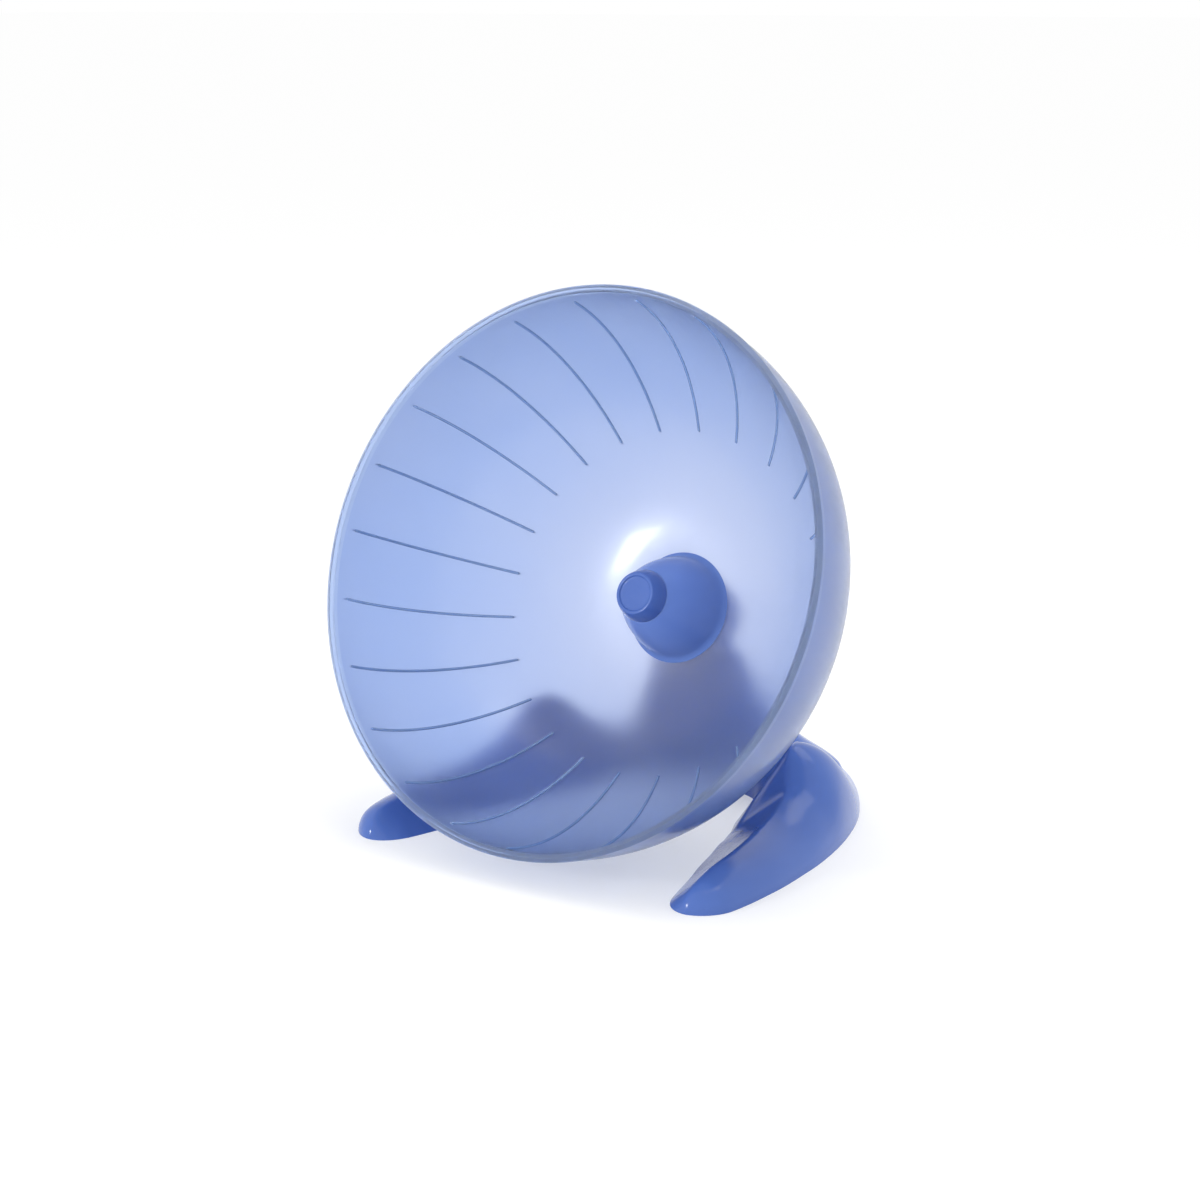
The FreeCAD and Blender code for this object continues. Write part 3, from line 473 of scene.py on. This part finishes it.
@dataclass(frozen=True)
class StandPlastic:
    """Solid mid-blue gloss plastic with faint flow marks and small scuffs."""

    name: str = "stand_plastic"
    colour: tuple = (0.080, 0.156, 0.465)
    deep_colour: tuple = (0.066, 0.135, 0.425)
    flow_stretch: tuple = (1.0, 0.45, 1.6)
    flow_cell: float = 0.035
    flow_octaves: float = 3.0
    scuff_cell: float = 0.0016
    scuff_octaves: float = 5.0
    scuff_band: tuple = (0.4, 0.8)
    roughness: float = 0.16
    roughness_spread: float = 0.06
    wave_cell: float = 0.009
    wave_octaves: float = 2.0
    wave_height: float = 0.04 * MM
    wave_strength: float = 0.5
    bending: float = 1.5
    gloss: float = 0.35

    def build(self) -> bpy.types.Material:
        """The material."""
        shader = Shader(self.name)
        vector = shader.coordinates()
        marks = shader.noise(shader.stretched(vector, self.flow_stretch), self.flow_cell, self.flow_octaves)
        flow = shader.span(marks, MID_NOISE, (0.0, 1.0))
        shader.feed("Base Color", shader.mixed(flow, self.colour, self.deep_colour))
        scuff = shader.noise(vector, self.scuff_cell, self.scuff_octaves)
        rough = (self.roughness, self.roughness + self.roughness_spread)
        shader.feed("Roughness", shader.span(scuff, self.scuff_band, rough))
        waves = shader.noise(vector, self.wave_cell, self.wave_octaves)
        shader.bump(waves, self.wave_height, self.wave_strength)
        shader.set(IOR=self.bending, Specular_IOR_Level=self.gloss)
        return shader.material


@dataclass(frozen=True)
class SmallSteel:
    """Steel of a fastener or bearing piece: ring-shaped tool marks about the wheel's axis and a mottle."""

    name: str
    colour: tuple
    stain: tuple
    roughness: float
    mark_width: float
    roughness_spread: float = 0.12
    mark_octaves: float = 2.0
    mark_height: float = 0.01 * MM
    mark_strength: float = 0.6
    mottle_cell: float = 0.0015
    mottle_octaves: float = 4.0
    mottle_band: tuple = (0.35, 0.7)
    mottle_share: float = 0.6

    def build(self) -> bpy.types.Material:
        """The material."""
        shader = Shader(self.name)
        vector = shader.coordinates(wheel=True)
        rings = shader.node("ShaderNodeTexNoise", noise_dimensions="1D")
        rings.inputs["Scale"].default_value = 1 / self.mark_width
        rings.inputs["Detail"].default_value = self.mark_octaves
        shader.link(shader.radius(vector), rings.inputs["W"])
        marks = rings.outputs["Fac"]
        spots = shader.noise(vector, self.mottle_cell, self.mottle_octaves)
        mottle = shader.span(spots, self.mottle_band, (0.0, self.mottle_share))
        shader.feed("Base Color", shader.mixed(mottle, self.colour, self.stain))
        rough = (self.roughness, self.roughness + self.roughness_spread)
        shader.feed("Roughness", shader.span(marks, MID_NOISE, rough))
        shader.bump(marks, self.mark_height, self.mark_strength)
        shader.set(Metallic=1.0)
        return shader.material


@dataclass(frozen=True)
class CageNylon:
    """Natural nylon of the ball cages, matt and faintly grained."""

    colour: tuple = (0.62, 0.56, 0.42)
    shade: tuple = (0.52, 0.46, 0.33)
    grain_cell: float = 0.0009
    grain_octaves: float = 4.0
    grain_height: float = 0.01 * MM
    roughness: float = 0.55
    milk_share: float = 0.2
    milk_depth: float = 1.0 * MM

    def build(self) -> bpy.types.Material:
        """The material."""
        shader = Shader("cage_nylon")
        vector = shader.coordinates()
        grain = shader.noise(vector, self.grain_cell, self.grain_octaves)
        shader.feed("Base Color", shader.mixed(grain, self.colour, self.shade))
        shader.bump(grain, self.grain_height)
        shader.set(
            Roughness=self.roughness, Subsurface_Weight=self.milk_share, Subsurface_Scale=self.milk_depth)
        return shader.material


@dataclass
class Finishes:
    """Every finish of the object, built once."""

    bowl: bpy.types.Material = field(default_factory=lambda: BowlPlastic().build())
    # The ribs are the bowl's own plastic. This darker, less clear copy of it is painted shade, for the dark
    # lines of the ribs' shaded sides.
    ribs: bpy.types.Material = field(default_factory=lambda: BowlPlastic(
        name="rib_painted_shade", rim_colour=(0.22, 0.33, 0.68), middle_colour=(0.26, 0.37, 0.70),
        cloud_colour=(0.28, 0.39, 0.72), clear_share=0.35).build())
    stand: bpy.types.Material = field(default_factory=lambda: StandPlastic().build())
    # The cone is the stand's blue plastic. This lighter copy of it is painted light, for the light on the
    # cone's sides.
    cone: bpy.types.Material = field(default_factory=lambda: StandPlastic(
        name="cone_painted_light", colour=(0.175, 0.29, 0.68), deep_colour=(0.155, 0.26, 0.64)).build())
    zinc: bpy.types.Material = field(default_factory=lambda: SmallSteel(
        name="zinc_plate", colour=(0.60, 0.61, 0.62), stain=(0.50, 0.51, 0.53), roughness=0.28,
        mark_width=0.0004).build())
    bearing: bpy.types.Material = field(default_factory=lambda: SmallSteel(
        name="ground_steel", colour=(0.66, 0.66, 0.68), stain=(0.56, 0.56, 0.58), roughness=0.12,
        mark_width=0.0002).build())
    shield: bpy.types.Material = field(default_factory=lambda: SmallSteel(
        name="pressed_steel", colour=(0.50, 0.50, 0.51), stain=(0.40, 0.40, 0.42), roughness=0.32,
        mark_width=0.0003).build())
    spring: bpy.types.Material = field(default_factory=lambda: SmallSteel(
        name="black_spring_steel", colour=(0.06, 0.06, 0.065), stain=(0.10, 0.09, 0.085), roughness=0.35,
        mark_width=0.0003).build())
    nylon: bpy.types.Material = field(default_factory=lambda: CageNylon().build())


@dataclass
class RunningBowl:
    """Bowl with a rolled lip, a bearing housing and running ribs; heights are depths made negative."""

    floor_radius: float = 20.0 * MM
    arc_depth: float = 3.5 * MM
    arc_radius: float = 79.0 * MM
    wall: float = 1.9 * MM
    lip_reach: float = 0.98 * MM
    lip_depth: float = 2.0 * MM
    lip_sweep: float = 1.6 * MM
    housing_bore: float = 9.52 * MM
    housing_radius: float = 12.2 * MM
    housing_reach: float = 5.0 * MM
    housing_front: float = 69.5 * MM
    edge_round: float = 0.5 * MM
    lip_edge_round: float = 0.5 * MM / 3
    root_round: float = 1.2 * MM
    segments: int = 320
    rib_count: int = 24
    rib_turn: float = math.radians(-1.85)
    rib_width: float = 1.0 * MM
    rib_rise: float = 0.7 * MM
    rib_outer_depth: float = 6.4 * MM
    rib_inner_depth: float = 67.5 * MM
    rib_steps: int = 64
    rib_crest_points: int = 9
    rib_end: float = 1.6 * MM
    rib_end_width: float = 0.3

    @property
    def back(self) -> float:
        """Depth of the bowl's outer floor."""
        return self.arc_depth + self.arc_radius

    def radius_at(self, arc_radius: float, depth: np.ndarray) -> np.ndarray:
        """Radius of a bowl arc at a depth: floor radius plus the root of arc squared less drop squared."""
        return self.floor_radius + np.sqrt(arc_radius ** 2 - (depth - self.arc_depth) ** 2)

    def shell(self) -> bpy.types.Mesh:
        """Bowl and housing as one closed ring turned about the wheel's axis."""
        outer, inner = self.arc_radius, self.arc_radius - self.wall
        back, floor = self.back, self.back - self.wall
        corners = [
            (self.housing_bore, -(back + self.housing_reach)),
            (self.housing_radius, -(back + self.housing_reach)),
            (self.housing_radius, -back),
            (self.floor_radius, -back),
            (self.radius_at(outer, self.lip_depth), -self.lip_depth),
            (self.radius_at(outer, 0.0) + self.lip_reach, -self.lip_depth),
            (self.radius_at(outer, 0.0) + self.lip_reach, 0.0),
            (self.radius_at(inner, 0.0), 0.0),
            (self.floor_radius, -floor),
            (self.housing_radius, -floor),
            (self.housing_radius, -self.housing_front),
            (self.housing_bore, -self.housing_front),
        ]
        arcs = {3: (outer, 1), 6: (self.lip_sweep, 1), 7: (inner, -1)}
        rounds = dict.fromkeys((0, 1, 4, 5, 9, 10, 11), self.edge_round)
        rounds.update({2: self.root_round, 6: self.lip_edge_round, 7: self.lip_edge_round})
        return turned_piece("running_bowl", outline(corners, arcs, rounds), self.segments, True)

    def ribs(self) -> bpy.types.Mesh:
        """Low ribs along the bowl's inside.

        Along a rib the centre line is the inner arc; across it the section runs up one side, over a
        half-round crest and down the other, and its rise fades to nothing over the last stretch at
        either end as the root of 1 less (1 less distance over stretch) squared.
        """
        inner = self.arc_radius - self.wall
        start = math.asin((self.rib_outer_depth - self.arc_depth) / inner)
        finish = math.asin((self.rib_inner_depth - self.arc_depth) / inner)
        along = np.linspace(0, 1, self.rib_steps)
        length = inner * (finish - start)
        ends = np.minimum(along, 1 - along) * length / self.rib_end
        fade = np.sqrt(np.clip(1 - (1 - np.clip(ends, 0, 1)) ** 2, 0, 1))
        angle = start + (finish - start) * along
        half = self.rib_width / 2
        crest = np.linspace(0, math.pi, self.rib_crest_points)
        sideways = np.concatenate([[half], half * np.cos(crest), [-half]])
        rise = np.concatenate([[0], self.rib_rise - half + half * np.sin(crest), [0]])
        sunk = self.wall / 2
        lift = (rise + sunk)[None, :] * fade[:, None] - sunk
        arc = inner - lift
        radius = self.floor_radius + arc * np.cos(angle)[:, None]
        height = -(self.arc_depth + arc * np.sin(angle)[:, None])
        across = sideways[None, :] * np.maximum(fade, self.rib_end_width)[:, None]
        turns = self.rib_turn + np.arange(self.rib_count) * (2 * math.pi / self.rib_count)
        cos, sin = np.cos(turns)[:, None, None], np.sin(turns)[:, None, None]
        points = np.stack([
            radius * cos - across * sin,
            radius * sin + across * cos,
            np.broadcast_to(height, (len(turns),) + height.shape)], axis=3)
        steps, sides = lift.shape
        tube = grid_faces(steps, sides, False, True)
        caps = self.end_faces(steps, sides)
        one = np.vstack([tube, caps])
        offsets = np.arange(self.rib_count)[:, None, None] * (steps * sides)
        faces = (one[None] + offsets).reshape(-1, 4)
        return mesh_from("running_ribs", WHEEL.place(points.reshape(-1, 3)), faces)

    @staticmethod
    def end_faces(steps: int, sides: int) -> np.ndarray:
        """Quads that close both ends of a rib, pairing the points of its two sides."""
        left = np.arange((sides - 1) // 2)
        right = sides - 1 - left
        first = np.stack([left, left + 1, right - 1, right], axis=1)
        return np.vstack([first, first[:, ::-1] + (steps - 1) * sides])

    def add(self, finishes: Finishes) -> None:
        """Add the bowl and its ribs."""
        add_piece(self.shell(), finishes.bowl, Body.WHEEL, Slot.WHEEL_PLASTIC, "wheel_bowl")
        add_piece(self.ribs(), finishes.ribs, Body.WHEEL, Slot.WHEEL_PLASTIC)


@dataclass
class NoseCone:
    """Hollow cone over the bearing housing, and the cap that closes it."""

    floor_depth: float = 80.6 * MM
    foot_radius: float = 20.6 * MM
    foot_spread: float = 2.2 * MM
    foot_height: float = 3.4 * MM
    foot_sweep: float = 5.0 * MM
    side_sweep: float = 55.0 * MM
    height: float = 24.6 * MM
    seam_radius: float = 9.7 * MM
    wall: float = 1.7 * MM
    lip: float = 1.6 * MM
    bore: float = 6.65 * MM
    seam_round: float = 0.35 * MM
    knee_round: float = 1.5 * MM
    inner_knee_round: float = 1.0 * MM
    cap_height: float = 6.7 * MM
    cap_step: float = 0.1 * MM
    cap_seam: float = 0.3 * MM
    cap_side_sweep: float = 14.0 * MM
    cap_face_radius: float = 7.5 * MM
    cap_ring_width: float = 1.0 * MM
    cap_ring_rise: float = 0.6 * MM
    cap_plug_radius: float = 6.6 * MM
    cap_plug_length: float = 4.5 * MM
    cap_plug_wall: float = 1.4 * MM
    cap_face_wall: float = 2.0 * MM
    cap_foot_round: float = 0.25 * MM
    cap_crest_round: float = 0.3 * MM
    cap_edge_round: float = 0.35 * MM
    segments: int = 192

    @property
    def seam_depth(self) -> float:
        """Depth of the seam between cone and cap."""
        return self.floor_depth - self.height

    def cone(self) -> bpy.types.Mesh:
        """Ogive with a flared foot, hollow and open at the floor."""
        knee = self.foot_radius - self.foot_spread
        knee_depth = self.floor_depth - self.foot_height
        corners = [
            (self.foot_radius, -self.floor_depth),
            (knee, -knee_depth),
            (self.seam_radius, -self.seam_depth),
            (self.bore, -self.seam_depth),
            (self.bore, -(self.seam_depth + self.lip)),
            (self.seam_radius - self.wall + self.lip / 2, -(self.seam_depth + self.lip)),
            (knee - self.wall, -knee_depth),
            (self.foot_radius - self.wall, -self.floor_depth),
        ]
        arcs = {
            0: (self.foot_sweep, -1), 1: (self.side_sweep, 1),
            5: (self.side_sweep - self.wall, -1), 6: (self.foot_sweep + self.wall, 1)}
        rounds = {1: self.knee_round, 2: self.seam_round, 6: self.inner_knee_round}
        return turned_piece("nose_cone_shell", outline(corners, arcs, rounds), self.segments, True)

    def cap(self) -> bpy.types.Mesh:
        """Cap with a raised ring round a bare sunk face, on a hollow plug."""
        seam = self.seam_radius - self.cap_step
        tip = self.seam_depth - self.cap_height
        sunk = tip + self.cap_ring_rise
        ring_inner = self.cap_face_radius - self.cap_ring_width
        plug_inner = self.cap_plug_radius - self.cap_plug_wall
        plug_back = self.seam_depth + self.cap_plug_length
        under = sunk + self.cap_face_wall
        corners = [
            (0.0, -sunk),
            (ring_inner - self.cap_ring_rise / 2, -sunk),
            (ring_inner, -tip),
            (self.cap_face_radius, -tip),
            (seam, -(self.seam_depth - self.cap_seam)),
            (seam - self.cap_seam, -(self.seam_depth - self.cap_seam)),
            (seam - self.cap_seam, -self.seam_depth),
            (self.cap_plug_radius, -self.seam_depth),
            (self.cap_plug_radius, -plug_back),
            (plug_inner, -plug_back),
            (plug_inner, -under),
            (0.0, -under),
        ]
        rounds = {
            1: self.cap_foot_round, 2: self.cap_crest_round, 3: self.cap_edge_round, 4: self.cap_foot_round}
        section = outline(corners, {3: (self.cap_side_sweep, -1)}, rounds, closed=False)
        return turned_piece("nose_cap_cover", section, self.segments, False)

    def add(self, finishes: Finishes) -> None:
        """Add the cone and its cap."""
        add_piece(self.cone(), finishes.cone, Body.WHEEL, Slot.STAND_PLASTIC, "nose_cone")
        add_piece(self.cap(), finishes.stand, Body.WHEEL, Slot.STAND_PLASTIC, "nose_cap")


@dataclass
class Stand:
    """Moulded stand, whose legs, arch, neck and boss flow into each other, and its rear plug.

    The stand's surface is the solid's own, made even and eased, because the flowing junctions of its
    neck and arch aren't a function of two parameters.
    """

    octree_depth: int = 8
    octree_scale: float = 0.97
    easing: int = 12
    kept_share: float = 0.58
    band_floor: float = 0.8 * MM
    band_top: float = 5.0 * MM
    plug_radius: float = 8.4 * MM
    plug_height: float = 1.6 * MM
    plug_sweep: float = 46.0 * MM
    plug_skirt_wall: float = 1.3 * MM
    plug_skirt_length: float = 3.0 * MM
    plug_edge: float = 0.3 * MM
    boss_back: float = 105.7 * MM
    segments: int = 128

    def moulding(self) -> bpy.types.Mesh:
        """The stand's solid, merged, divided evenly with its edges kept, and eased above the floor."""
        solid = frame["nodes"]["stand_shell"].data.copy()
        clean = bmesh.new()
        clean.from_mesh(solid)
        bmesh.ops.remove_doubles(clean, verts=clean.verts, dist=SAME_SOLID_POINT)
        clean.to_mesh(solid)
        clean.free()
        source = bpy.data.objects.new("stand_source", solid)
        bpy.context.scene.collection.objects.link(source)
        remesh = source.modifiers.new("even", "REMESH")
        remesh.mode = "SHARP"
        remesh.octree_depth = self.octree_depth
        remesh.scale = self.octree_scale
        remesh.use_remove_disconnected = False
        self.ease(self.settled(source))
        source.modifiers.new("thin", "DECIMATE").ratio = self.kept_share
        mesh = self.settled(source)
        bpy.data.objects.remove(source)
        mesh.name = "stand_moulding"
        points = np.empty(len(mesh.vertices) * 3, dtype=np.float32)
        mesh.vertices.foreach_get("co", points)
        points[2::3] = np.maximum(points[2::3], 0.0)
        mesh.vertices.foreach_set("co", points)
        smooth(mesh)
        return mesh

    @staticmethod
    def settled(source: bpy.types.Object) -> bpy.types.Mesh:
        """The object's new mesh, with its modifiers applied and taken off."""
        evaluated = source.evaluated_get(bpy.context.evaluated_depsgraph_get())
        source.data = bpy.data.meshes.new_from_object(evaluated)
        source.modifiers.clear()
        return source.data

    def ease(self, mesh: bpy.types.Mesh) -> None:
        """Round the mesh's edges and junctions, but none at the floor.

        In each round a point moves half way to the mean of its neighbours, times a weight that grows from
        nothing at the floor's edge to one as 3t^2 - 2t^3, t being the height over the band's height.
        """
        points = np.empty(len(mesh.vertices) * 3)
        mesh.vertices.foreach_get("co", points)
        points = points.reshape(-1, 3)
        edges = np.empty(len(mesh.edges) * 2, dtype=np.int64)
        mesh.edges.foreach_get("vertices", edges)
        first, second = edges.reshape(-1, 2).T
        degree = np.maximum(np.bincount(edges, minlength=len(points)), 1)[:, None]
        share = np.clip((points[:, 2:] - self.band_floor) / (self.band_top - self.band_floor), 0, 1)
        weight = 0.5 * share ** 2 * (3 - 2 * share)
        for _ in range(self.easing):
            total = np.stack([
                np.bincount(first, points[second, axis], len(points))
                + np.bincount(second, points[first, axis], len(points)) for axis in range(3)], axis=1)
            points += weight * (total / degree - points)
        mesh.vertices.foreach_set("co", points.astype(np.float32).ravel())
        mesh.update()

    def plug(self) -> bpy.types.Mesh:
        """Domed plug on a skirt, pressed into the boss."""
        crown = self.plug_sweep - math.sqrt(self.plug_sweep ** 2 - self.plug_radius ** 2)
        under = self.boss_back - self.plug_height
        skirt = self.plug_radius - self.plug_skirt_wall
        corners = [
            (0.0, -(self.boss_back + crown)),
            (self.plug_radius, -self.boss_back),
            (self.plug_radius, -(under - self.plug_skirt_length)),
            (skirt, -(under - self.plug_skirt_length)),
            (skirt, -under),
            (0.0, -under),
        ]
        section = outline(corners, {0: (self.plug_sweep, 1)}, {1: self.plug_edge}, closed=False)
        return turned_piece("rear_plug_cover", section, self.segments, False)

    def add(self, finishes: Finishes) -> None:
        """Add the stand and its plug."""
        add_piece(self.moulding(), finishes.stand, Body.STAND, Slot.STAND_PLASTIC, "stand_shell")
        add_piece(self.plug(), finishes.stand, Body.STAND, Slot.STAND_PLASTIC, "rear_plug")


@dataclass
class AxleStack:
    """Fasteners and bearings, whose solids are shown as they are and only get their finishes."""

    zinc_nodes: tuple = (
        "axle_bolt", "bolt_washer", "clamp_nut", "rear_spacer_washer", "front_spacer_washer", "lock_nut",
        "inner_ring_sleeve")
    spring_nodes: tuple = ("bearing_clip",)
    places: tuple = ("front", "rear")

    def add(self, finishes: Finishes) -> None:
        """Give every solid of the stack its finish."""
        dressed = {name: finishes.zinc for name in self.zinc_nodes}
        dressed.update({name: finishes.spring for name in self.spring_nodes})
        for place in self.places:
            for part in ("inner_ring", "outer_ring", "bearing_balls"):
                dressed[place + "_" + part] = finishes.bearing
            dressed[place + "_bearing_shields"] = finishes.shield
            dressed[place + "_bearing_cage"] = finishes.nylon
        for name, material in dressed.items():
            solid = frame["nodes"][name]
            solid.data.materials.clear()
            solid.data.materials.append(material)
            LOG.info("%s: finished as %s", name, material.name)


@dataclass(frozen=True)
class Lamp:
    """Square soft lamp: its direction from the wheel, its distance and side in metres, its power in watts."""

    name: str
    towards: tuple
    distance: float
    size: float
    power: float

    def add(self) -> None:
        """Put the lamp into the scene, facing the wheel."""
        data = bpy.data.lights.new(self.name, "AREA")
        data.shape = "SQUARE"
        data.size = self.size
        data.energy = self.power
        lamp = bpy.data.objects.new(self.name, data)
        direction = Vector(self.towards).normalized()
        lamp.location = Vector(WHEEL.origin) + direction * self.distance
        lamp.rotation_mode = "QUATERNION"
        lamp.rotation_quaternion = (-direction).to_track_quat("-Z", "Y")
        bpy.context.scene.collection.objects.link(lamp)


@dataclass
class Studio:
    """White table, soft lamps and the camera at the photograph's viewing angle."""

    azimuth: float = math.radians(34.255)
    elevation: float = math.radians(13.668)
    distance: float = 0.850
    shift_right: float = 13.593 * MM
    shift_up: float = -10.617 * MM
    picture_width: float = 1200.0
    focal_pixels: float = 2494.553
    sensor: float = 36.0
    floor_size: float = 60.0
    floor_colour: tuple = (0.98, 0.98, 0.98)
    floor_grain: float = 0.4
    floor_grain_octaves: float = 2.0
    floor_roughness: tuple = (0.75, 0.85)
    surround: float = 1.0
    backdrop_share: float = 0.4
    lamps: tuple = (
        Lamp("window", towards=(-0.376, -0.885, 0.276), distance=1.1, size=0.17, power=3.6),
        Lamp("sky_panel", towards=(0.1, 0.25, 1.0), distance=1.2, size=1.0, power=5.0))

    def camera(self) -> None:
        """Camera that looks at the rim's middle, a little to its right and below it."""
        azimuth, elevation = self.azimuth, self.elevation
        right = np.array([math.cos(azimuth), math.sin(azimuth), 0.0])
        back = np.array([
            math.sin(azimuth) * math.cos(elevation), -math.cos(azimuth) * math.cos(elevation),
            math.sin(elevation)])
        upwards = np.cross(back, right)
        target = WHEEL.origin + right * self.shift_right + upwards * self.shift_up
        data = bpy.data.cameras.new("camera")
        data.sensor_width = self.sensor
        data.lens = self.sensor * self.focal_pixels / self.picture_width
        camera = bpy.data.objects.new("camera", data)
        camera.location = target + back * self.distance
        camera.rotation_mode = "QUATERNION"
        camera.rotation_quaternion = Vector(-back).to_track_quat("-Z", "Y")
        bpy.context.scene.collection.objects.link(camera)
        bpy.context.scene.camera = camera

    def floor(self) -> None:
        """White table top with a faint unevenness in its sheen.

        Seen by the camera, in a reflection or through the bowl, a share of it is even white, which keeps
        the object's shadow pale; it lights the object as plain white paint does.
        """
        half = self.floor_size / 2
        mesh = bpy.data.meshes.new("table")
        mesh.from_pydata([(-half, -half, 0), (half, -half, 0), (half, half, 0), (-half, half, 0)], [],
                         [(0, 1, 2, 3)])
        table = bpy.data.objects.new("table", mesh)
        bpy.context.scene.collection.objects.link(table)
        shader = Shader("white_table")
        grain = shader.noise(shader.coordinates(), self.floor_grain, self.floor_grain_octaves)
        shader.feed("Roughness", shader.span(grain, MID_NOISE, self.floor_roughness))
        shader.set(Base_Color=self.floor_colour, Specular_IOR_Level=0.0)
        seen = shader.node("ShaderNodeLightPath").outputs
        straight = shader.joined("MAXIMUM", seen["Is Camera Ray"], seen["Is Glossy Ray"])
        share = shader.joined(
            "MULTIPLY", shader.joined("MAXIMUM", straight, seen["Is Transmission Ray"]), self.backdrop_share)
        blend = shader.node("ShaderNodeMixShader")
        white = shader.node("ShaderNodeEmission")
        for number, source in enumerate((share, shader.surface.outputs["BSDF"], white.outputs["Emission"])):
            shader.link(source, blend.inputs[number])
        shader.link(blend.outputs["Shader"], shader.output.inputs["Surface"])
        mesh.materials.append(shader.material)

    def world(self) -> None:
        """Even white surround."""
        world = bpy.data.worlds.new("surround")
        bpy.context.scene.world = world
        world.use_nodes = True
        tree = world.node_tree
        tree.nodes.clear()
        output = tree.nodes.new("ShaderNodeOutputWorld")
        light = tree.nodes.new("ShaderNodeBackground")
        light.inputs["Color"].default_value = (1.0, 1.0, 1.0, 1.0)
        light.inputs["Strength"].default_value = self.surround
        tree.links.new(light.outputs[0], output.inputs["Surface"])

    def build(self) -> None:
        """Set up the whole stage."""
        bpy.context.scene.view_settings.view_transform = "Standard"
        self.world()
        self.floor()
        for lamp in self.lamps:
            lamp.add()
        self.camera()


def main() -> None:
    """Build every sub-assembly in order, then the stage."""
    logging.basicConfig(level=logging.INFO, format="%(name)s: %(message)s")
    finishes = Finishes()
    for part in (RunningBowl(), NoseCone(), Stand(), AxleStack()):
        LOG.info("building %s", type(part).__name__)
        part.add(finishes)
    Studio().build()


if __name__ == "__main__":
    main()
